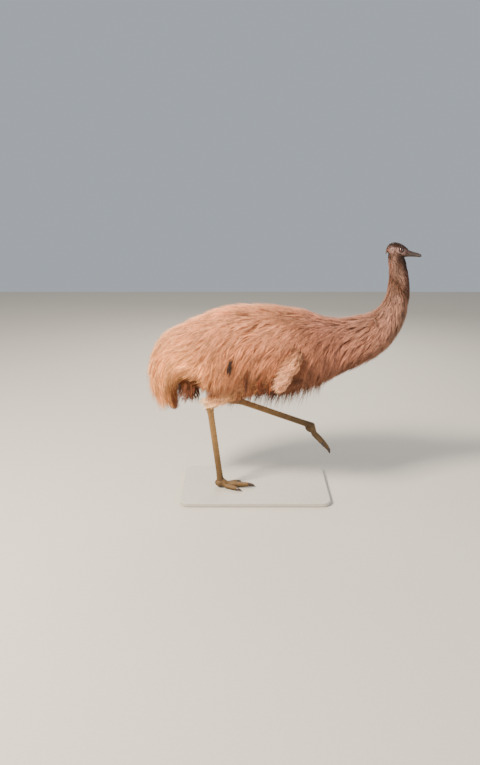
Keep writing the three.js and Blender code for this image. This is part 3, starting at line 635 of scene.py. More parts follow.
def spread_evenly(n):
    """Two shares from 0 to 1 for each number n, the R2 low-discrepancy sequence: n / p and n / p^2
    without their whole parts, where p is the root of p^3 = p + 1."""
    return (n * 0.7548776662) % 1, (n * 0.5698402910) % 1


def between(ends, share):
    """The value at a share of the way from the first end to the second."""
    return ends[0] + share * (ends[1] - ends[0])


def even_roots(count, stations, widest, seed, cling):
    """Stations and angles spread evenly over the surface: points of the R2 low-discrepancy sequence,
    each kept with a chance that goes with the area its patch covers."""
    random = np.random.default_rng(seed)
    many = count * 6
    share_u, share_a = spread_evenly(np.arange(many) + random.random())
    station = between(stations, share_u)
    limit = between(widest, share_u)
    angle = np.radians((2 * share_a - 1) * limit)
    here = coat_point(station, angle, 0.5, cling)
    du = coat_point(station + NUDGE, angle, 0.5, cling) - here
    da = coat_point(station, angle + NUDGE, 0.5, cling) - here
    area = np.linalg.norm(np.cross(du, da), axis=1) * limit
    keep = np.argsort(random.random(many) / np.maximum(area, 1e-12))[:count]
    return station[keep], angle[keep]


def lie_of_coat(station, angle):
    """How far the lie turns down from the body line, in radians: 8 degrees at the parting to 68 on
    the flank of the torso, and much less on the tail and the neck."""
    side = ease(np.degrees(np.abs(angle)), 6, 105)
    torso = 8 + 60 * side
    tail = 3 + 8 * side
    neck = 5 + 18 * side
    to_tail = 1 - ease(station, 3.2, 4.8)
    to_neck = ease(station, 9.0, 10.4)
    return np.radians(torso * (1 - to_tail) * (1 - to_neck) + tail * to_tail + neck * to_neck)


print("sample lie", np.degrees(lie_of_coat(np.array([6.0]), np.array([1.2]))).round(1))

# %% The path of each tuft
STEPS = 4  # rings along a strand before its tip


WALK = 20  # finer steps in which a tuft finds its way over the coat


def tuft_paths(station, angle, length, rise, swerve, cling=0.0, sink=0.25):
    """Points (tuft, step, 3) and outward directions. Each tuft walks over the coat in small steps of
    its length along the lie, and its height runs from the sink under the skin up to its rise."""
    at, turn = station, angle
    side = np.where(angle < 0, -1.0, 1.0)
    tips = np.ones_like(station)
    points, outs = [], []
    for k in range(WALK + 1):
        here = coat_point(at, turn, tips, cling)
        du = (coat_point(at + NUDGE, turn, tips, cling) - here) / NUDGE
        da = (coat_point(at, turn + NUDGE, tips, cling) - here) / NUDGE
        height = -sink + (rise + sink) * (k / WALK) ** 0.75
        points.append(coat_point(at, turn, height, cling))
        outs.append(unit(np.cross(da, du)))
        down = lie_of_coat(at, turn) + swerve
        at = np.maximum(at - np.cos(down) * length / WALK / np.linalg.norm(du, axis=1), 0.01)
        turn = turn + side * np.sin(down) * length / WALK / np.linalg.norm(da, axis=1)
    pick = np.round(np.linspace(0, 1, STEPS + 1) ** 0.9 * WALK).astype(int)
    return np.stack(points, 1)[:, pick], np.stack(outs, 1)[:, pick]


print("strand rings", STEPS, "steps of the walk", WALK)


# %% Strands of a tuft
def strands(paths, outs, width, per_tuft, thick, seed, gather, wave):
    """Middle lines (tuft, strand, ring, 3) of the strands, with their sideways and outward directions.
    Across its tuft a strand sits at a random share of the width, and all draw together towards the tip
    by the gather. The wave is how far a tip strays."""
    random = np.random.default_rng(seed)
    tufts, rings, _ = paths.shape
    along = unit(np.gradient(paths, axis=1))
    across = unit(np.cross(outs, along))
    shape = (tufts, per_tuft, 1)
    aside = random.uniform(-1, 1, shape)
    proud = random.uniform(-1, 1, shape)
    reach = random.uniform(0.72, 1.0, shape)
    t = np.linspace(0, 1, rings)[None, None, :]
    spindle = 0.35 + 0.65 * np.sin(np.pi * np.minimum(t * 1.25, 1)) ** 0.7
    spread = width[:, None, None] * aside * spindle * (1 - gather * t**2)
    spread = spread + random.normal(0, wave, shape) * t
    lift = thick * proud * (0.4 + t) + random.normal(0, wave * 0.6, shape) * np.sin(np.pi * t)
    where = np.clip(t * reach, 0, 1) * (rings - 1)
    low = np.minimum(where.astype(int), rings - 2)
    mix = (where - low)[..., None]
    row = np.arange(tufts)[:, None, None]

    def slide(values):
        return values[row, low] * (1 - mix) + values[row, low + 1] * mix

    centre = slide(paths) + slide(across) * spread[..., None] + slide(outs) * lift[..., None]
    return centre, slide(across), slide(outs)


UV_SPREAD, UV_MARGIN, UV_PATCH = 0.98, 0.005, 0.003


def unwrapped(turn_share, length_share):
    """Place of each root on the unwrapped skin: its share of a turn, and its share of the length."""
    return np.stack([turn_share * UV_SPREAD, length_share * UV_SPREAD], -1) + UV_MARGIN


def strand_mesh(name, centre, across, outs, half_width, colours, uv):
    """One mesh of many strands. Corners of each ring: one to each side and one on top. The last ring
    shrinks to a tip. In the UV map each tuft is a small patch at its root's place on the unwrapped
    skin."""
    tufts, per_tuft, rings, _ = centre.shape
    count = tufts * per_tuft
    t = np.linspace(0, 1, rings)
    taper = (0.55 + 0.45 * np.sin(np.pi * np.minimum(t * 1.4, 1))) * (1 - t**2.2)
    half = half_width[..., None, None] * taper[None, None, :, None]
    left = centre - across * half
    right = centre + across * half
    top = centre + outs * half * 0.55
    rows = np.stack([left[:, :, :-1], top[:, :, :-1], right[:, :, :-1]], 3).reshape(count, -1, 3)
    tips = centre[:, :, -1].reshape(count, 1, 3)
    points = np.concatenate([rows, tips], 1)
    each = points.shape[1]
    bands = rings - 2
    k = np.arange(bands)[:, None] * 3
    i = np.arange(3)
    after = (i + 1) % 3
    walls = split_quads(k + i, k + after, k + 3 + after, k + 3 + i)
    end = bands * 3
    to_tip = [[end, end + 1, each - 1], [end + 1, end + 2, each - 1], [end + 2, end, each - 1]]
    one = np.concatenate([walls, [[0, 2, 1]], to_tip])
    one = outward_faces(points[0] - points[0].mean(0), one)
    faces = (one[None] + (np.arange(count) * each)[:, None, None]).reshape(-1, 3)
    piece = mesh_from_arrays(name, points.reshape(-1, 3), faces)
    ring_of = np.append(np.repeat(np.arange(rings - 1), 3), rings - 1)
    paint(piece, colours.reshape(count, rings, 3)[:, ring_of].reshape(-1, 3))
    spot = np.stack([(np.arange(each) % 3) / 2, ring_of / (rings - 1)], -1) * UV_PATCH
    uv_points = (np.repeat(uv, per_tuft, 0)[:, None] + spot[None]).reshape(-1, 2)
    layer = piece.data.uv_layers.new(name="OFBake")
    layer.data.foreach_set("uv", uv_points[faces.ravel()].astype(np.float32).ravel())
    return piece


print("strand tools ready")


# %% Colour of the strands
def root_to_tip(root, tip):
    """Shade at each ring of a strand: the root's shade, 1 in the middle, and the tip's shade. The darker
    root is painted shade deep in the coat, and the darker tip is the feathers' own dark tips.
    """
    t = np.linspace(0, 1, STEPS + 1)
    return root + (1 - root) * ease(t, 0, 0.45) - (1 - tip) * ease(t, 0.75, 1)


CONTRAST = 0.22  # how far neighbouring tufts differ in shade


def strand_colours(station, angle, per_tuft, seed):
    """Colour (tuft, strand, ring, 3): the plumage's colour at the root, with a shade drawn for each
    tuft and each strand, darker at the root as painted shade in the depth of the coat, and slightly darker
    at the tip as the feathers' own dark tips. Broad streaks along the lie make some neighbouring tufts
    pale and others dark, as the hanging coat shows."""
    random = np.random.default_rng(seed)
    base = plumage_colour(station, angle)
    streak = np.sin(angle * 9 + station * 2.1) * np.sin(station * 5.3 - angle * 3.1)
    tuft_shade = np.exp(CONTRAST * (0.55 * streak + random.normal(0, 0.75, len(station))))
    strand_shade = np.exp(random.normal(0, CONTRAST * 0.6, (len(station), per_tuft)))
    shade = tuft_shade[:, None, None] * strand_shade[..., None] * root_to_tip(0.45, 0.8)
    return base[:, None, None, :] * shade[..., None]


print("shade along a strand", root_to_tip(0.45, 0.8).round(2))


# %% Grow the coat, patch by patch
THIN = 1.0
STRAND_TRIANGLES = 3 * 2 * (STEPS - 1) + 4
GATHER = 0.75  # share of its width that a tuft loses at the tip


def tufts_for(triangles, per_tuft):
    """How many tufts make up the given number of triangles."""
    return int(THIN * triangles / (STRAND_TRIANGLES * per_tuft))


def grow(name, triangles, per_tuft, half_width, stations, widest, length, width, seed, rises,
         cling=0.0, wave=0.004, thick=0.004, swing=9.0, material=FEATHER):
    """One coat piece: roots, paths, strands, colours and UV for a stretch of the body. The widest
    angles, in degrees, and the tufts' length and width, in metres, are given at both ends of the
    stretch and run evenly between them. The rises are how high a tuft's tip stands in the coat, and
    the swing is how far it swerves, in degrees."""
    random = np.random.default_rng(seed + 1)
    station, angle = even_roots(tufts_for(triangles, per_tuft), stations, widest, seed, cling)
    tufts = len(station)
    share = (station - stations[0]) / (stations[1] - stations[0])
    size = between(length, share) * random.uniform(0.8, 1.12, tufts)
    rise = random.uniform(*rises, tufts)
    swerve = np.radians(random.normal(0, swing, tufts))
    paths, outs = tuft_paths(station, angle, size, rise, swerve, cling)
    spread = between(width, share) * random.uniform(0.7, 1.2, tufts) / 2
    centre, across, out = strands(paths, outs, spread, per_tuft, thick, seed + 2, GATHER, wave)
    half = half_width * random.uniform(0.7, 1.25, (tufts, per_tuft))
    colours = strand_colours(station, angle, per_tuft, seed + 3) * markings_and_shade(centre)
    uv = unwrapped((angle + np.pi) / (2 * np.pi), share)
    settle(strand_mesh(name, centre, across, out, half, colours, uv), material, "plumage")


print("triangles of a strand", STRAND_TRIANGLES)

# %% [markdown]
# Each call of grow says in this order: the piece, its triangles, the strands of a tuft, half the width
# of a strand, the stretch of stations, the widest angles, the lengths and the widths of its tufts at the
# two ends, a seed, and how high the tips stand. The torso has a short dense layer below and a long one
# above. A narrow piece lies along the parting of the back.

# %% The torso's coat, in three stretches of two layers
for part, (low, high) in enumerate([(4.0, 6.1), (5.9, 7.9), (7.7, 9.8)]):
    grow(f"coat_torso_under_{part}", 64_000, 8, 0.0023, (low, high), (150, 165), (0.165, 0.155),
         (0.038, 0.034), 100 + part, (0.35, 0.75))
    grow(f"coat_torso_{part}", 165_000, 9, 0.0021, (low, high), (122, 132 + 14 * part), (0.225, 0.205),
         (0.044, 0.040), 110 + part, (0.72, 1.02))
grow("coat_parting", 40_000, 8, 0.0020, (2.6, 9.6), (15, 15), (0.190, 0.150), (0.036, 0.030), 120,
     (0.55, 1.0))

# %% The tail plume and the belly
grow("coat_tail", 118_000, 9, 0.0020, (1.7, 4.6), (178, 178), (0.250, 0.265), (0.042, 0.044), 130,
     (0.55, 1.02), swing=5.0)
grow("coat_belly", 50_000, 8, 0.0021, (4.9, 8.4), (179, 179), (0.150, 0.140), (0.036, 0.034), 135,
     (0.4, 0.9), cling=0.030)

# %% The neck, finer and shorter towards the throat
grow("coat_neck_base", 104_000, 8, 0.0016, (9.3, 11.8), (178, 178), (0.165, 0.120), (0.032, 0.024), 140,
     (0.5, 1.0), swing=8.0, wave=0.003, thick=0.003)
grow("coat_neck", 104_000, 7, 0.0011, (11.5, 14.2), (178, 178), (0.105, 0.066), (0.020, 0.012), 150,
     (0.4, 0.95), wave=0.002, thick=0.002)
grow("coat_throat", 97_000, 6, 0.0008, (13.9, 17.0), (178, 178), (0.056, 0.032), (0.010, 0.006), 160,
     (0.35, 1.0), swing=12.0, wave=0.0015, thick=0.001, material=BRISTLE)

# %% [markdown]
# In a few places the coat of the right flank stands open or lies in folds, and its shaded depth shows
# as a dark slit or line. Short dark tufts lie there, just over the coat.


# %% Dark openings in the coat
def surface_on_right(x, z):
    """Station and angle of the coat's surface where it shows at x and z from the right: of a fine grid
    over that side, the pair whose point comes closest in the side view."""
    grids = crossed(np.linspace(3.0, 13.0, 260), np.radians(np.linspace(12, 158, 240)))
    station, angle = (grid.ravel() for grid in grids)
    points = coat_point(station, angle, np.ones_like(station))
    gap = np.hypot(points[None, :, 0] - x[:, None], points[None, :, 2] - z[:, None])
    nearest = gap.argmin(1)
    return station[nearest], angle[nearest]


SLITS = [
    # x, z over the ground of the top and the bottom, width, tufts, colour
    (-0.127, 0.752, -0.133, 0.700, 0.009, 34, "2c140a"),
    (-0.051, 0.690, -0.050, 0.592, 0.003, 40, "54280f"),
    (0.020, 0.650, 0.026, 0.594, 0.012, 70, "70381a"),
    (0.075, 0.640, 0.070, 0.594, 0.004, 20, "804424"),
    # painted shadow of the wing, laid as dark tufts under it
    (0.140, 0.632, 0.232, 0.650, 0.010, 60, "7a4a30"),
    (0.578, 0.935, 0.590, 0.895, 0.004, 9, "6a4636"),
]


def dark_openings(name, seed):
    """Short dark tufts that lie in the places where the coat stands open and shows its shaded depth."""
    random = np.random.default_rng(seed)
    rows, tones = [], []
    for x0, z0, x1, z1, width, count, code in SLITS:
        t = np.clip(random.normal(0.45, 0.26, count), -0.1, 1.0)
        tones.append(np.tile(srgb(code), (count, 1)))
        x = between((x0, x1), t) + random.normal(0, width * 0.45, count)
        rows.append(np.stack([x, between((z0, z1), t)], -1))
    spots = np.concatenate(rows)
    station, angle = surface_on_right(spots[:, 0], spots[:, 1] + LIFT)
    tufts = len(station)
    length = random.uniform(0.022, 0.046, tufts)
    down = math.radians(78) - lie_of_coat(station, angle)
    level = random.uniform(1.0, 1.04, tufts) + 0.03 * (spots[:, 1] < 0.69)
    paths, outs = tuft_paths(station, angle, length, level, down, sink=-0.78)
    centre, across, out = strands(paths, outs, np.full(tufts, 0.003), 5, 0.001, seed + 1, 0.8, 0.0012)
    half = 0.0011 * random.uniform(0.6, 1.2, (tufts, 5))
    colours = np.concatenate(tones)[:, None, None] * random.uniform(0.7, 1.3, centre.shape[:3])[..., None]
    uv = unwrapped((angle + np.pi) / (2 * np.pi), station / LAST)
    settle(strand_mesh(name, centre, across, out, half, colours, uv), FEATHER, "plumage")


dark_openings("coat_openings", 170)

# %% [markdown]
# ## The coat of the limbs
# The drumsticks and the small wings carry tufts of their own. Here the coat is grown round a bone
# instead of the body line: a root is a share of the bone and an angle round it, and the strands run
# down the bone to the hock or the wing tip, standing off a little as they go.


# %% Grow feathers round a bone
def bone_paths(path, radius_at, share, angle, length, rise, depth, flat, swerve, droop):
    """Points (tuft, step, 3) and outward directions of tufts round a bone. The path runs from the
    root end to the tip end, and each tuft follows it from its own share, turning by the swerve and
    sagging by the droop."""
    ends = np.linalg.norm(np.diff(path, axis=0), axis=1)
    reach = np.concatenate([[0], np.cumsum(ends)]) / ends.sum()
    t = np.linspace(0, 1, STEPS + 1)[None, :] ** 0.95
    at = share[:, None] + length[:, None] / ends.sum() * t
    turn = angle[:, None] + swerve[:, None] * t
    centre = np.stack([np.interp(at, reach, path[:, n]) for n in range(3)], -1)
    over = np.maximum(at - 1, 0)[..., None] * ends.sum()
    centre = centre + over * unit(path[-1] - path[-2])
    along = unit(np.gradient(path, axis=0))
    along = unit(np.stack([np.interp(at, reach, along[:, n]) for n in range(3)], -1))
    across, through = side_frame(along)
    c, s = np.cos(turn)[..., None], np.sin(turn)[..., None]
    out = across * c + through * s
    flatter = across * c + through * flat * s
    height = radius_at(np.clip(at, 0, 1)) - 0.3 * depth + depth * (0.3 + rise[:, None]) * t**0.7
    sag = np.array(droop) * (t**1.6)[..., None] * (length / length.max())[:, None, None]
    return centre + flatter * height[..., None] + sag, unit(out)


STRANDS_ON_BONE = 7  # in each tuft of a limb


def grow_on_bone(name, triangles, path, radius_at, length, width, half_width, depth, flat, codes, seed,
                 shares=(0.0, 0.97), wave=0.003, droop=(0, 0, 0)):
    """One coat piece round a bone, between two shares of its length. The tufts' length is given at
    both ends, and their width, half a strand's width, and the coat's depth once, all in metres. The
    colour runs between the codes from the root end to the tip."""
    random = np.random.default_rng(seed)
    tufts = tufts_for(triangles, STRANDS_ON_BONE)
    along_share, turn_share = spread_evenly(np.arange(tufts) + random.random())
    share = between(shares, along_share)
    angle = 2 * np.pi * turn_share
    rise = random.uniform(0.3, 1.0, tufts)
    size = between(length, share) * random.uniform(0.75, 1.1, tufts)
    swerve = np.radians(random.normal(0, 14, tufts))
    paths, outs = bone_paths(path, radius_at, share, angle, size, rise, depth, flat, swerve, droop)
    spread = width * random.uniform(0.7, 1.2, tufts) / 2
    centre, across, out = strands(paths, outs, spread, STRANDS_ON_BONE, 0.002, seed + 1, GATHER, wave)
    half = half_width * random.uniform(0.7, 1.25, (tufts, STRANDS_ON_BONE))
    tones = np.array([srgb(code) for code in codes])
    mix = np.clip(share, 0, 1) * (len(codes) - 1)
    k = np.minimum(mix.astype(int), len(codes) - 2)
    base = tones[k] * (1 - (mix - k)[:, None]) + tones[k + 1] * (mix - k)[:, None]
    tuft_shade = np.exp(0.2 * random.normal(0, 0.8, tufts))
    strand_shade = np.exp(0.12 * random.normal(0, 1, (tufts, STRANDS_ON_BONE)))
    shade = (tuft_shade[:, None] * strand_shade)[..., None] * root_to_tip(0.4, 0.85)
    colours = base[:, None, None] * shade[..., None]
    uv = unwrapped(angle / (2 * np.pi), share)
    settle(strand_mesh(name, centre, across, out, half, colours, uv), FEATHER, "plumage")


# %% Drumsticks and wings
# both shanks grow paler towards the hock; the right shank's tones are lifted by painted sunlight, and the
# far left shank's lowered by painted shade
for side_name, leg, seed, tones in (
    ("right", STANCE, 200, ["a87048", "cc905e", "eeb07c", "ffca96", "ffd2a0"]),
    ("left", SWING, 210, ["7a4e34", "94643f", "a87850", "b8895c", "b8895c"]),
):
    bone = leg["knee"] + np.linspace(0.0, 1.0, 20)[:, None] * (leg["hock"] - leg["knee"])
    grow_on_bone(f"coat_shank_{side_name}", 47_000, bone, lambda at: shank_radius(1 - at), (0.150, 0.062),
                 0.032, 0.0016, 0.026, 0.86, tones, seed, (0.05, 0.95), droop=(-0.030, 0, -0.014))

WING_TONES = ["b47c58", "dea076", "eab088", "e6aa80"]
for side_name, mirror, seed in (("right", 1, 220), ("left", -1, 230)):
    grow_on_bone(f"coat_wing_{side_name}", 34_000, wing_path(mirror), lambda at: wing_radius(at * 3),
                 (0.110, 0.048), 0.056, 0.0017, 0.034, 0.6, WING_TONES, seed, wave=0.0016,
                 droop=(-0.064, 0, 0.004))

# %% [markdown]
# Between the tail plume and the thigh the photograph shows a shaded notch. Dark tufts close it, hung
# round a short line under the tail.

# %% The shaded notch under the tail
# dark tufts as painted shade, filling the notch between the plume and the thigh
notch_shade_line = np.stack([place(-0.330, -0.010, 0.665), place(-0.338, -0.010, 0.60), place(-0.342, -0.010, 0.535)])
grow_on_bone("coat_notch_shade", 24_000, notch_shade_line, lambda at: 0.028 + 0.016 * at, (0.090, 0.060), 0.034, 0.0019,
             0.026, 1.9, ["804a2a", "6a381e", "5c3019"], 240)

# %% [markdown]
# ## The head
# The head is small for so large a bird. It is flat on top, with a heavy brow over the big eye, an open
# ear, and a broad, blunt bill. The skull is a tube of sections like the body, and the brow, the socket,
# the cheek and the ear are added as soft bumps and hollows. The lids are rings laid over the eyeball.
# Everything is then fused, so the lids grow out of the face.

# %% The skull's sections and its place
HEAD_AT = place(0.700, 0.0, 1.252)
HEAD_TILT = math.radians(8)
SKULL = np.array(
    [
        # x, up, down, side, lift, in millimetres
        [-60, 9, 12, 13, 2],
        [-54, 20, 20, 21, 2],
        [-40, 29, 27, 27, 2],
        [-20, 32, 31, 29, 1],
        [0, 30, 31, 28, 0],
        [18, 25, 28, 24, -2],
        [33, 18, 22, 20, -4],
        [43, 13.4, 17, 17.8, -5],
        [51, 8, 11, 14, -5],
    ]
) / 1000
EYE_AT = np.array([0.002, 0.017, 0.006])
EYE_RADIUS = 0.0125
EAR_AT = np.array([-0.027, 0.025, -0.008])


def from_head(points):
    """Points of the head's own frame in the shared frame: nodded down by the tilt, then moved."""
    c, s = math.cos(HEAD_TILT), math.sin(HEAD_TILT)
    x, y, z = points[..., 0], points[..., 1], points[..., 2]
    return np.stack([x * c + z * s, y, -x * s + z * c], -1) + HEAD_AT


def bump(points, at, spread):
    """A soft bell, 1 at its centre: exp(-(d / spread)^2), the same on both sides of the head."""
    mirrored = np.stack([points[..., 0], np.abs(points[..., 1]), points[..., 2]], -1)
    return np.exp(-(((mirrored - np.array(at)) / np.array(spread)) ** 2).sum(-1))


FACE_FORMS = [
    # height, centre, spread
    (0.0022, (0.006, 0.021, 0.021), (0.020, 0.008, 0.006)),  # brow
    (0.0018, (-0.012, 0.024, -0.014), (0.013, 0.014, 0.009)),  # cheek
    (-0.0020, (0.029, 0.021, 0.004), (0.010, 0.009, 0.008)),  # lore
    (-0.0042, (-0.027, 0.028, -0.008), (0.0042, 0.02, 0.0050)),  # ear opening
    (0.0012, (-0.0335, 0.028, -0.006), (0.0030, 0.02, 0.0070)),  # its raised rear edge
]


def skull_point(row, angle, out=0.0):
    """The face at a row of the table and an angle from the crown, with brow, cheek, lore, ear, gape
    and socket; out is a height over it."""
    sizes, _ = curve_at(SKULL, row)
    up, down, side = sizes[..., 1] + out, sizes[..., 2] + out, sizes[..., 3] + out
    y = -side * np.sin(angle)
    z = sizes[..., 4] + np.where(np.cos(angle) > 0, up, down) * np.cos(angle)
    point = np.stack([sizes[..., 0] + y * 0, y, z], -1)
    push = sum(height * bump(point, at, spread) for height, at, spread in FACE_FORMS)
    gape = np.exp(-(((point[..., 2] + 0.012 + 0.12 * (point[..., 0] - 0.045)) / 0.0011) ** 2))
    push = push - 0.0016 * gape * ease(point[..., 0], 0.010, 0.018)
    socket = np.hypot(point[..., 0] - EYE_AT[0], point[..., 2] - EYE_AT[2])
    push = push - 0.0085 * (1 - ease(socket, 0.0085, 0.0112)) * (np.abs(y) > 0.01)
    scale = 1 + push / np.maximum(np.hypot(y, z - sizes[..., 4]), 0.004)
    return np.stack([point[..., 0], y * scale, sizes[..., 4] + (z - sizes[..., 4]) * scale], -1)


def lid_ring(mirror, radius_x, radius_z, over, tube):
    """A ring over the eyeball. At each turn it leans out from the eye's axis by the angle whose sine is
    its radius over the eyeball's, and it is drawn to a corner in front."""
    turn = np.linspace(0, 2 * np.pi, 72, endpoint=False)
    lean_x = radius_x * np.cos(turn) * (1 + 0.10 * np.maximum(np.cos(turn), 0) ** 6)
    lean_z = radius_z * np.sin(turn)
    deep = np.sqrt(np.maximum(EYE_RADIUS**2 - lean_x**2 - lean_z**2, 1e-8))
    direction = unit(np.stack([lean_x, deep, lean_z], -1))
    spine = EYE_AT + direction * (EYE_RADIUS + over)
    around_ring = unit(np.roll(spine, -1, 0) - np.roll(spine, 1, 0))
    wide = np.cross(around_ring, direction)
    c, s = circle(14)
    thick = tube * (1 + 0.25 * np.sin(turn))[:, None, None]
    ring = direction[:, None] * c[None, :, None] + wide[:, None] * s[None, :, None]
    rings = (spine[:, None] + ring * thick) * np.array([1, mirror, 1])
    count, sides, _ = rings.shape
    k, i = np.arange(count)[:, None], np.arange(sides)[None]
    here, beyond = k * sides, (k + 1) % count * sides
    after = (i + 1) % sides
    points = rings.reshape(-1, 3)
    return points, outward_faces(points, split_quads(here + i, here + after, beyond + after, beyond + i))


face_turns = np.linspace(-np.pi, np.pi, 145)[:-1]
skull_parts = [tube_arrays(skull_point(*crossed(np.linspace(0, 8, 160), face_turns)))]
for mirror in (1, -1):
    skull_parts.append(lid_ring(mirror, 0.0101, 0.0077, over=0.0007, tube=0.0016))  # edge of the lids
    skull_parts.append(lid_ring(mirror, 0.0118, 0.0108, over=-0.0006, tube=0.0018))  # fold round them
head_parts = [(from_head(points), faces) for points, faces in skull_parts]
head_parts.append(tube_arrays(bare_body(np.linspace(14.9, 17.0, 40), face_turns, 0.97)))
head = fused("head_skin", head_parts, voxel=0.0011, smooth_rounds=2)
print("head points", len(head.data.vertices))


# %% Colours of the face
def to_head(points):
    """Points of the shared frame in the head's own frame."""
    c, s = math.cos(HEAD_TILT), math.sin(HEAD_TILT)
    x, y, z = np.moveaxis(points - HEAD_AT, -1, 0)
    return np.stack([x * c - z * s, y, x * s + z * c], -1)


def face_colour(points):
    """Dark crown and lore, dull bluish-pink cheek and nape, black-brown throat, the ear opening darkened
    by painted shade of its hollow, dark lids.
    """
    p = to_head(points)
    x, y, z = p[..., 0], np.abs(p[..., 1]), p[..., 2]
    colour = np.broadcast_to(srgb("86665c"), p.shape).copy()

    def mix(code, amount):
        colour[...] = colour * (1 - amount[..., None]) + srgb(code) * amount[..., None]

    mix("3e261b", ease(z, 0.008, 0.020))
    mix("452c22", ease(x, 0.014, 0.036))
    mix("4a2e24", ease(-z, 0.010, 0.020) * ease(x, -0.05, -0.02))
    mix("a08078", bump(p, (-0.046, 0.022, -0.004), (0.012, 0.02, 0.018)))
    # painted shade in the hollow of the ear opening
    mix("3a241c", bump(p, (-0.027, 0.026, -0.008), (0.0055, 0.02, 0.0065)))
    lid = np.hypot(x - EYE_AT[0], z - EYE_AT[2])
    mix("2c1c16", (1 - ease(lid, 0.0125, 0.0155)) * ease(y, 0.010, 0.018))
    return colour


paint(head, face_colour(points_of(head)))


def face_material():
    """Bare leathery skin: pores and fine wrinkles as bump, a slight gloss."""
    material = coat_material("face_skin", roughness=0.55, sheen=0.0)
    tree = material.node_tree
    tree.nodes["Principled BSDF"].inputs["Specular IOR Level"].default_value = 0.4
    wrinkles = object_noise(tree, scale=420.0, detail=6.0, stretch=(1, 1, 2.2))
    add_bump(tree, wrinkles.outputs["Fac"], strength=0.5, distance=0.0008)
    return material


settle(head, face_material(), "head_skin", "head")

# %% [markdown]
# ## Eyes
# The eyeball is a closed ball with the iris and the pupil coloured by the distance from its own axis.
# A strong clear coat gives the wet highlight that makes an eye look alive.


# %% Eyeballs
EYE_RINGS, EYE_SIDES = 72, 96
PUPIL_EDGE, IRIS_EDGE = 0.36, 0.82  # angles from the eye's axis, in radians


def eye_piece(name, mirror):
    """A ball whose rings run round the y axis, slightly fuller at the cornea."""
    lean = np.linspace(0.001, np.pi - 0.001, EYE_RINGS)
    turn = np.linspace(0, 2 * np.pi, EYE_SIDES, endpoint=False)
    full = EYE_RADIUS * (1 + 0.05 * np.exp(-((lean / 0.5) ** 2)))
    out, deep = (full * np.sin(lean))[:, None], (full * np.cos(lean))[:, None]
    ball = np.stack([out * np.cos(turn), deep + 0 * turn, out * np.sin(turn)], -1)
    points, faces = tube_arrays((ball + EYE_AT) * np.array([1, mirror, 1]))
    piece = mesh_from_arrays(name, from_head(points), faces)
    lean_of = np.append(np.repeat(lean, EYE_SIDES), [0, np.pi])[:, None]
    turn_of = np.append(np.tile(turn, EYE_RINGS), [0, 0])[:, None]
    iris = srgb("6e3816") * (1 + 0.175 * np.sin(turn_of * 31))
    colours = iris * (0.55 + 0.45 * ease(lean_of, 0.38, 0.62))
    colours = np.where(lean_of < PUPIL_EDGE, srgb("050303"), colours)
    colours = np.where(lean_of > IRIS_EDGE, srgb("1c120c"), colours)
    paint(piece, colours)
    return piece


def eye_material():
    """A wet eye: the painted iris under a clear coat."""
    material, tree, shader = new_material("eye_wet")
    tree.links.new(painted_colour(tree), shader.inputs["Base Color"])
    shader.inputs["Roughness"].default_value = 0.12
    shader.inputs["Coat Weight"].default_value = 1.0
    shader.inputs["Coat Roughness"].default_value = 0.02
    return material


EYE_WET = eye_material()
for side_name, mirror in (("right", -1), ("left", 1)):
    settle(eye_piece(f"eyeball_{side_name}", mirror), EYE_WET, "eye", f"eye_{side_name}")

# %% [markdown]
# ## The bill
# The bill is broad at the gape and blunt at the tip. A ridge runs down its middle, and the nostrils lie
# in long hollows beside it. The upper half laps the lower one by a hair all round.

# %% Bill halves
GAPE_AT, TOP_TIP_AT, BOTTOM_TIP_AT = 0.036, 0.1125, 0.1095  # along the head's own x
BILL_SHARE = np.array([0, 0.12, 0.3, 0.5, 0.7, 0.85, 0.94, 0.985, 1.0])
BILL_HALF_WIDTH = np.array([17.3, 17.3, 16.2, 14.4, 12.2, 9.9, 7.4, 4.2, 0.8]) / 1000
BILL_RISE = np.array([19.5, 18.2, 15.2, 13.0, 11.2, 9.6, 7.8, 4.8, 1.0]) / 1000
BILL_SINK = np.array([14.0, 12.0, 9.6, 8.0, 6.8, 5.6, 4.2, 2.6, 0.6]) / 1000


def mouth_line(x):
    """Height of the mouth: level at the gape, dipping a little towards the tip."""
    return -0.012 - 0.0015 * ease(x, 0.085, 0.112)


def bill_half(upper):
    """One half as sections along the bill. Angle 0 to pi goes over the outside, and the other half of
    the ring is the flat mouth side."""
    tip = TOP_TIP_AT if upper else BOTTOM_TIP_AT
    share = np.linspace(0, 1, 90)[:, None] ** 0.8
    turn = np.linspace(0, np.pi, 61)[None]
    wide = np.interp(share, BILL_SHARE, BILL_HALF_WIDTH) * (1.0 if upper else 0.93)
    tall = np.interp(share, BILL_SHARE, BILL_RISE if upper else BILL_SINK)
    x = between((GAPE_AT, tip), share) + 0 * turn
    y = wide * np.sign(np.cos(turn)) * np.abs(np.cos(turn)) ** 0.85
    z = tall * np.sin(turn) ** (0.95 if upper else 0.8)
    if upper:
        ridge = 0.0016 * np.exp(-((y / 0.0028) ** 2))
        z = z + ridge * ease(share, 0.02, 0.2) * (1 - ease(share, 0.85, 1.0))
    z = np.where(np.sin(turn) < 1e-6, 0, z)
    sign = 1 if upper else -1
    seam = mouth_line(x) + sign * 0.00025
    shell = np.stack([x, y, seam + sign * z], -1)
    if upper:
        hollow = 0.0024 * bump(shell, (0.072, 0.0125, -0.0038), (0.0085, 0.006, 0.0026))
        shell = shell - hollow[..., None] * unit(np.stack([0 * y, y, np.maximum(z, 0.001)], -1))
    return tube_arrays(shell)


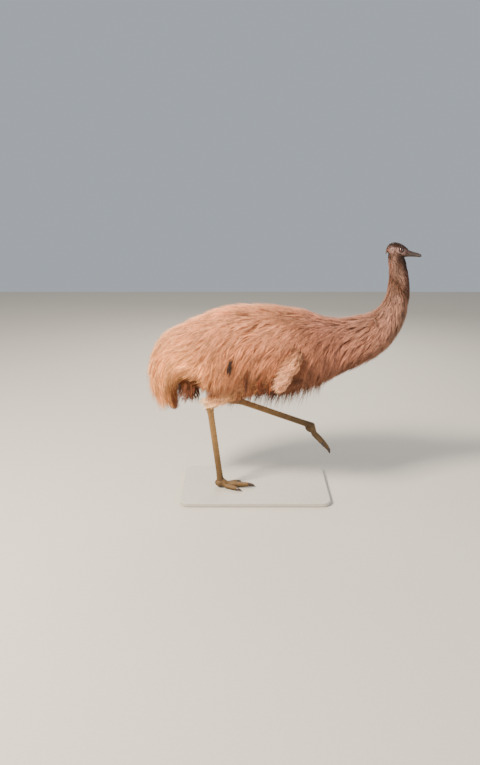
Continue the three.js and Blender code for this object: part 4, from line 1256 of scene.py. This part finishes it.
def horn_material():
    """Dark horn: a glossy, finely streaked surface."""
    material, tree, shader = new_material("horn_dark")
    streak = object_noise(tree, scale=130.0, detail=5.0, stretch=(0.3, 1.4, 1.4))
    ramp = tree.nodes.new("ShaderNodeValToRGB")
    ramp.color_ramp.elements[0].position = 0.32
    ramp.color_ramp.elements[0].color = (*srgb("2a1f1a"), 1)
    ramp.color_ramp.elements[1].position = 0.72
    ramp.color_ramp.elements[1].color = (*srgb("4e3c30"), 1)
    tree.links.new(streak.outputs["Fac"], ramp.inputs["Fac"])
    tree.links.new(ramp.outputs["Color"], shader.inputs["Base Color"])
    add_bump(tree, streak.outputs["Fac"], strength=0.25, distance=0.0006)
    shader.inputs["Roughness"].default_value = 0.38
    shader.inputs["Specular IOR Level"].default_value = 0.45
    return material


HORN = horn_material()
for name, upper, solid in (("bill_top", True, "bill_upper"), ("bill_bottom", False, "bill_lower")):
    points, faces = bill_half(upper)
    settle(mesh_from_arrays(name, from_head(points), faces), HORN, "horn", solid)


# %% Bristles of the head
BRISTLE_ROWS = (0.3, 6.6)  # rows of the skull's table between which bristles root
ROW_STEP = 0.0165  # length of the skull between two rows, as a bristle counts it
LEAST_ROW = 0.02


def head_bristles(name, triangles, per_tuft, seed):
    """Short bristles that run back from the bill over the crown and cheeks, thin round the eye and
    ear."""
    random = np.random.default_rng(seed)
    count = tufts_for(triangles, per_tuft)
    row_share, turn_share = spread_evenly(np.arange(count * 3) + random.random())
    row = between(BRISTLE_ROWS, row_share)
    angle = (2 * turn_share - 1) * np.pi
    at = skull_point(row, angle)
    near_eye = bump(at, (0.002, 0.026, 0.006), (0.0145, 0.03, 0.0125))
    near_ear = bump(at, EAR_AT, (0.007, 0.02, 0.008))
    face = ease(at[:, 0], -0.01, 0.03) * (np.abs(angle) > 0.8)
    bare = np.maximum(np.clip(np.maximum(near_eye, near_ear) * 2.2, 0, 1), 0.55 * face)
    keep = np.flatnonzero(random.random(len(row)) > bare)[:count]
    row, angle, at = row[keep], angle[keep], at[keep]
    crown = 1 - ease(np.abs(angle), 0.5, 1.3)
    length = (0.010 + 0.012 * crown) * random.uniform(0.6, 1.15, len(row))
    length = length * (1 - 0.45 * ease(at[:, 0], 0.0, 0.03)) + 0.014 * ease(-at[:, 0], 0.030, 0.052)
    low = ease(np.abs(angle), 1.2, 2.2) * ease(-at[:, 0], -0.015, 0.02)
    length = length + 0.008 * low
    t = np.linspace(0, 1, STEPS + 1)
    walk = row[:, None] - (length / ROW_STEP)[:, None] * t
    drift = random.normal(0, 0.10, len(row)) + 0.10 * np.sin(angle) + 0.55 * low * np.sign(angle)
    turn = angle[:, None] + drift[:, None] * t
    rise = -0.001 + (0.0035 + 0.004 * crown * random.random(len(row)))[:, None] * t**0.8
    on_skull = np.maximum(walk, LEAST_ROW)
    paths = skull_point(on_skull, turn, rise)
    centre_line, _ = curve_at(SKULL, on_skull)
    outs = unit(paths - np.stack([centre_line[..., 0], 0 * walk, centre_line[..., 4]], -1))
    beyond = np.minimum(walk - LEAST_ROW, 0)[..., None] * np.array([0.004, 0, 0.014])
    paths, outs = from_head(paths + beyond), unit(from_head(outs) - HEAD_AT)
    spread = random.uniform(0.0012, 0.0024, len(row))
    centre, across, out = strands(paths, outs, spread, per_tuft, 0.0005, seed + 1, 0.5, 0.0006)
    half = 0.00032 * random.uniform(0.7, 1.3, (len(row), per_tuft))
    base = face_colour(paths[:, 0]) * np.array([0.74, 0.58, 0.50])
    shade = np.exp(0.25 * random.normal(0, 1, (len(row), per_tuft)))[..., None] * (0.6 + 0.5 * t)
    colours = base[:, None, None] * shade[..., None]
    uv = unwrapped((angle + np.pi) / (2 * np.pi), row_share[keep])
    settle(strand_mesh(name, centre, across, out, half, colours, uv), BRISTLE, "head_skin")


head_bristles("coat_head", 92_000, 5, 300)

# %% [markdown]
# ## Legs and feet
# Below the hock the leg is bare. Broad plates lie one over the other down the front, and they go on
# over the top of each of the three toes. Small round scales cover the rest. One leg is planted, with
# its toes flat. The other swings forward with the toes hanging. Bone, hub and toes are fused into one
# skin per leg, and the plates are then pressed out of that skin.

# %% The bones of a foot
TOES = {
    # length, radius, splay side, plates, claw length
    "middle": (0.152, 0.018, 0, 16, 0.034),
    "inner": (0.098, 0.014, 1, 11, 0.026),
    "outer": (0.104, 0.0145, -1, 12, 0.026),
}
STANCE.update(forward=np.array([1, -0.04, 0]), up=np.array([0, 0, 1.0]), curl=0.0, splay=27, inner=1)
SWING.update(forward=np.array([0.8, 0.02, -0.6]), up=np.array([0.6, 0, 0.8]), curl=1.1, splay=15, inner=-1)


def turned(vector, axis, angle):
    """The vector turned about the axis by the angle, by Rodrigues' formula."""
    axis = unit(axis)
    c, s = math.cos(angle), math.sin(angle)
    return vector * c + np.cross(axis, vector) * s + axis * np.dot(axis, vector) * (1 - c)


def toe_spine(leg, toe, distance):
    """Points along a toe at each distance from the foot's hub: it drops to its own radius over the
    ground within the first few centimetres, and it curls with the square of the distance."""
    _, radius, side, _, _ = TOES[toe]
    forward = turned(unit(leg["forward"]), leg["up"], math.radians(leg["splay"]) * side * leg["inner"])
    drop = (0.042 - 0.86 * radius) * ease(distance, -0.006, 0.044) + leg["curl"] * distance**2
    return leg["foot"] + forward * distance[:, None] - unit(leg["up"]) * drop[:, None]


def bone_frame(leg):
    """The bone from hock to foot, its direction, and the direction that its front faces."""
    bone = leg["foot"] - leg["hock"]
    along = unit(bone)
    return bone, along, np.array([-along[2], 0, along[0]])


def tarsus_rings(leg):
    """The shaft between hock and foot, swollen at both ends and deeper behind, with round ends that
    reach past the bone into hock and hub."""
    share = np.linspace(-0.035, 1.034, 76)
    bone, along, front = bone_frame(leg)
    aside = np.cross(along, front)
    hock = np.exp(-((share / 0.085) ** 2))
    foot = np.exp(-((np.maximum(1 - share, 0) / 0.075) ** 2))
    reach_front = 0.0155 + 0.0085 * hock + 0.003 * foot
    reach_rear = 0.0155 + 0.0115 * hock + 0.003 * foot
    reach_side = 0.0130 + 0.0110 * hock + 0.006 * foot
    over = np.maximum(-share, share - 1) / 0.036
    cap = np.sqrt(np.clip(1 - np.maximum(over, 0) ** 2, 0.02, 1))
    c, s = circle(48)
    depth = np.where(c > 0, reach_front[:, None], reach_rear[:, None]) * np.sign(c) * np.abs(c) ** 0.9
    ring = front * depth[..., None] + aside * (reach_side[:, None] * s)[..., None]
    return leg["hock"] + share[:, None, None] * bone + ring * cap[:, None, None]


def toe_rings(leg, toe):
    """A toe: round on top, padded below, with a waist behind each pad."""
    length, radius, _, _, _ = TOES[toe]
    distance = np.linspace(0.0, length, 60)
    spine = toe_spine(leg, toe, distance)
    share = distance / length
    along = unit(np.gradient(spine, axis=0))
    up = unit(unit(leg["up"]) - along * (along @ unit(leg["up"]))[:, None])
    aside = np.cross(along, up)
    size = radius * (1 - 0.3 * share**1.5) * np.where(share > 0.97, 0.86, 1.0)
    pads = 1 + 0.05 * np.cos(share * 2 * np.pi * (3 if toe != "middle" else 4))
    c, s = circle(36)
    tall = np.where(c > 0, 0.86, 0.86 * pads[:, None]) * c * size[:, None]
    wide = s * (size * (0.92 + 0.08 * pads))[:, None]
    return spine[:, None] + up[:, None] * tall[..., None] + aside[:, None] * wide[..., None]


def hub_rings(leg):
    """The ball of the foot, an ellipsoid of 29 by 25 by 21 mm under the shaft."""
    lean = np.linspace(0.05, np.pi - 0.05, 24)[:, None]
    c, s = circle(36)
    along, up = unit(leg["forward"]), unit(leg["up"])
    aside = np.cross(up, along)
    x, y = 0.029 * np.sin(lean) * c, 0.025 * np.sin(lean) * s
    z = 0.021 * np.cos(lean) + 0 * c
    return leg["foot"] - up * 0.017 + along * x[..., None] + aside * y[..., None] + up * z[..., None]


print("toes", list(TOES))


# %% Plates pressed out of the skin
SHAFT_PLATES = 24
SHAFT_RISE, TOE_RISE = 0.0022, 0.0017  # how far a plate stands proud, in metres
LEG_SHADE = 0.88


def plate_profile(share, count):
    """Height over one plate: it rises quickly from under its neighbour and slopes down to its own
    edge, 1 - t, with a rounded lip."""
    t = (share * count) % 1
    return ease(t, 0.0, 0.14) * (1 - 0.75 * t)


def plated_leg(name, leg):
    """One leg's skin with its plates and its colours."""
    parts = [tube_arrays(tarsus_rings(leg)), tube_arrays(hub_rings(leg))]
    parts += [tube_arrays(toe_rings(leg, toe)) for toe in TOES]
    piece = fused(name, parts, voxel=0.0019, smooth_rounds=3)
    mesh = piece.data
    points = points_of(piece)
    normals = np.empty(len(points) * 3, dtype=np.float32)
    mesh.vertices.foreach_get("normal", normals)
    normals = normals.reshape(-1, 3).astype(float)
    bone, along, front = bone_frame(leg)
    share = (points - leg["hock"]) @ along / np.linalg.norm(bone)
    facing = normals @ front
    on_shaft = 1 - ease(share, 0.90, 0.97)
    edge = ease(facing, 0.25, 0.7) * on_shaft
    push = SHAFT_RISE * plate_profile(share, SHAFT_PLATES) * edge * ease(share, 0.03, 0.10)
    nearest = np.full(len(points), 9.0)
    toe_push = np.zeros(len(points))
    for toe, (length, _, _, plates, _) in TOES.items():
        distance = np.linspace(0.012, length, 90)
        spine = toe_spine(leg, toe, distance)
        gap = np.linalg.norm(points[:, None] - spine[None], axis=2)
        k = gap.argmin(1)
        near = gap.min(1)
        top = ease(normals @ unit(leg["up"]), 0.25, 0.65)
        here = TOE_RISE * plate_profile(distance[k] / length, plates) * top
        toe_push = np.where(near < nearest, here, toe_push)
        edge = np.maximum(edge, np.where(near < 0.03, top * (1 - on_shaft), 0))
        nearest = np.minimum(nearest, near)
    push = push + toe_push * (1 - on_shaft) * ease(-nearest, -0.03, -0.022)
    mesh.vertices.foreach_set("co", (points + normals * push[:, None]).astype(np.float32).ravel())
    mesh.update()
    base = srgb("a07643") * (1 - 0.35 * edge)[:, None] + srgb("b88949") * (0.35 * edge)[:, None]
    lower = ease(share, 0.3, 0.95)[:, None]
    base = base * (1 - lower) + srgb("6e5029") * lower
    # painted light and shade: paler where a plate stands proud, darker where it is low, as in the groove
    # under the next plate's lip, and the toes darker where they face down
    shade = 0.72 + 0.42 * np.clip(push / 0.0018, 0, 1)
    shaded_underside = ease(-(normals @ unit(leg["up"])), 0.3, 0.8) * (1 - on_shaft)
    colours = base * shade[:, None] * (1 - 0.35 * shaded_underside)[:, None]
    paint(piece, colours * LEG_SHADE)
    return piece


def leg_material():
    """Scaled skin: small round scales as a bump from a cell pattern, rough and dry."""
    material = coat_material("scaled_skin", roughness=0.6, sheen=0.0)
    tree = material.node_tree
    tree.nodes["Principled BSDF"].inputs["Specular IOR Level"].default_value = 0.4
    add_bump(tree, object_cells(tree, 210.0, "DISTANCE_TO_EDGE"), strength=0.65, distance=0.0015)
    return material


LEG_SKIN = leg_material()
for side_name, leg in (("right", STANCE), ("left", SWING)):
    solids = [f"tarsus_{side_name}"] + [f"toe_{toe}_{side_name}" for toe in TOES]
    settle(plated_leg(f"leg_{side_name}", leg), LEG_SKIN, "leg_scale", *solids)


# %% Claws
def claw_rings(leg, toe):
    """A claw: it leaves the toe's end along the toe, bends down, and narrows to a blunt point. It is
    taller than it is wide, with a flat underside."""
    length, radius, _, _, claw = TOES[toe]
    spine = toe_spine(leg, toe, np.array([length - 0.004, length]))
    along = unit(spine[1] - spine[0])
    up = unit(unit(leg["up"]) - along * (along @ unit(leg["up"])))
    share = np.linspace(-0.18, 1.0, 40)
    sag = 0.0058 * np.maximum(share, 0) ** 2 * (claw / 0.034)
    path = spine[1] + along * (share * claw)[:, None] - up * (sag + 0.0006)[:, None]
    radii = 0.62 * radius * np.sqrt(np.clip(1 - np.maximum(share, 0) ** 1.6, 0.012, 1))
    aside = np.cross(along, up)
    c, s = circle(32)
    tall = np.where(c > 0, 1.0, 0.72) * c
    return path[:, None] + radii[:, None, None] * (up * tall[:, None] + aside * 0.9 * s[:, None])[None]


for side_name, leg in (("right", STANCE), ("left", SWING)):
    for toe in TOES:
        points, faces = tube_arrays(claw_rings(leg, toe))
        points[:, 2] = np.maximum(points[:, 2], LIFT)
        claw = mesh_from_arrays(f"nail_{toe}_{side_name}", points, faces)
        settle(claw, HORN, "horn", f"claw_{toe}_{side_name}")

# %% [markdown]
# ## Base, floor and light
# The model stands on a pale matt slab. The photograph was taken in warm sun from the upper left and
# behind the camera, so one large warm lamp does most of the work, and a weak cool one fills the shade.


# %% The base and the floor
def matt_material(name, code, roughness, grain):
    """A plain matt surface with a faint grain, lighter and darker by the given share."""
    material, tree, shader = new_material(name)
    tone = tree.nodes.new("ShaderNodeRGB")
    tone.outputs[0].default_value = (*srgb(code), 1)
    noise = object_noise(tree, scale=90.0, detail=6.0)
    colour = tint_by_noise(tree, tone.outputs[0], noise, 1 - grain, 1 + grain)
    tree.links.new(colour, shader.inputs["Base Color"])
    shader.inputs["Roughness"].default_value = roughness
    return material


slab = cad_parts["stand_base"]
slab_material = matt_material("base_matt", "b9b2a6", roughness=0.8, grain=0.06)
if slab.material_slots:
    slab.material_slots[0].material = slab_material
else:
    slab.data.materials.append(slab_material)

FLOOR_REACH, FLOOR_DROP = 6.0, 0.001
corners = FLOOR_REACH * np.array([[-1, -1], [1, -1], [1, 1], [-1, 1]])
floor_points = np.column_stack([corners, np.full(4, -FLOOR_DROP)])
floor = mesh_from_arrays("floor", floor_points, np.array([[0, 1, 2, 3]]))
floor.data.materials.append(matt_material("floor_matt", "c4bcb0", roughness=0.9, grain=0.03))


def area_lamp(name, at, target, size, power, colour):
    """A square lamp at a place, turned to face the target."""
    data = bpy.data.lights.new(name, "AREA")
    data.size = size
    data.energy = power
    data.color = colour
    lamp = bpy.data.objects.new(name, data)
    lamp.location = at
    lamp.rotation_euler = (Vector(target) - Vector(at)).to_track_quat("-Z", "Y").to_euler()
    bpy.context.scene.collection.objects.link(lamp)


LAMPS = [
    # name, place, target, size, power, colour
    ("key", (-2.9, -2.1, 3.9), (0, 0, 0.7), 1.1, 730, (1.0, 0.905, 0.77)),
    ("fill", (3.2, -2.4, 1.6), (0, 0, 0.7), 2.5, 70, (0.85, 0.92, 1.0)),
    ("rim", (0.5, 3.2, 2.8), (0, 0, 0.9), 2.0, 110, (1.0, 0.96, 0.9)),
]
for lamp in LAMPS:
    area_lamp(*lamp)
world = bpy.data.worlds.new("soft_daylight")
world.use_nodes = True
sky = world.node_tree.nodes["Background"]
sky.inputs["Color"].default_value = (0.75, 0.82, 0.9, 1)
sky.inputs["Strength"].default_value = 0.55
bpy.context.scene.world = world

# %% [markdown]
# ## The end
# The faces of all the pieces that are shown are counted.

# %% Count the faces and finish
shown = [o for o in bpy.context.scene.objects if o.type == "MESH" and not o.hide_render]
print("faces in all", sum(len(o.data.polygons) for o in shown))
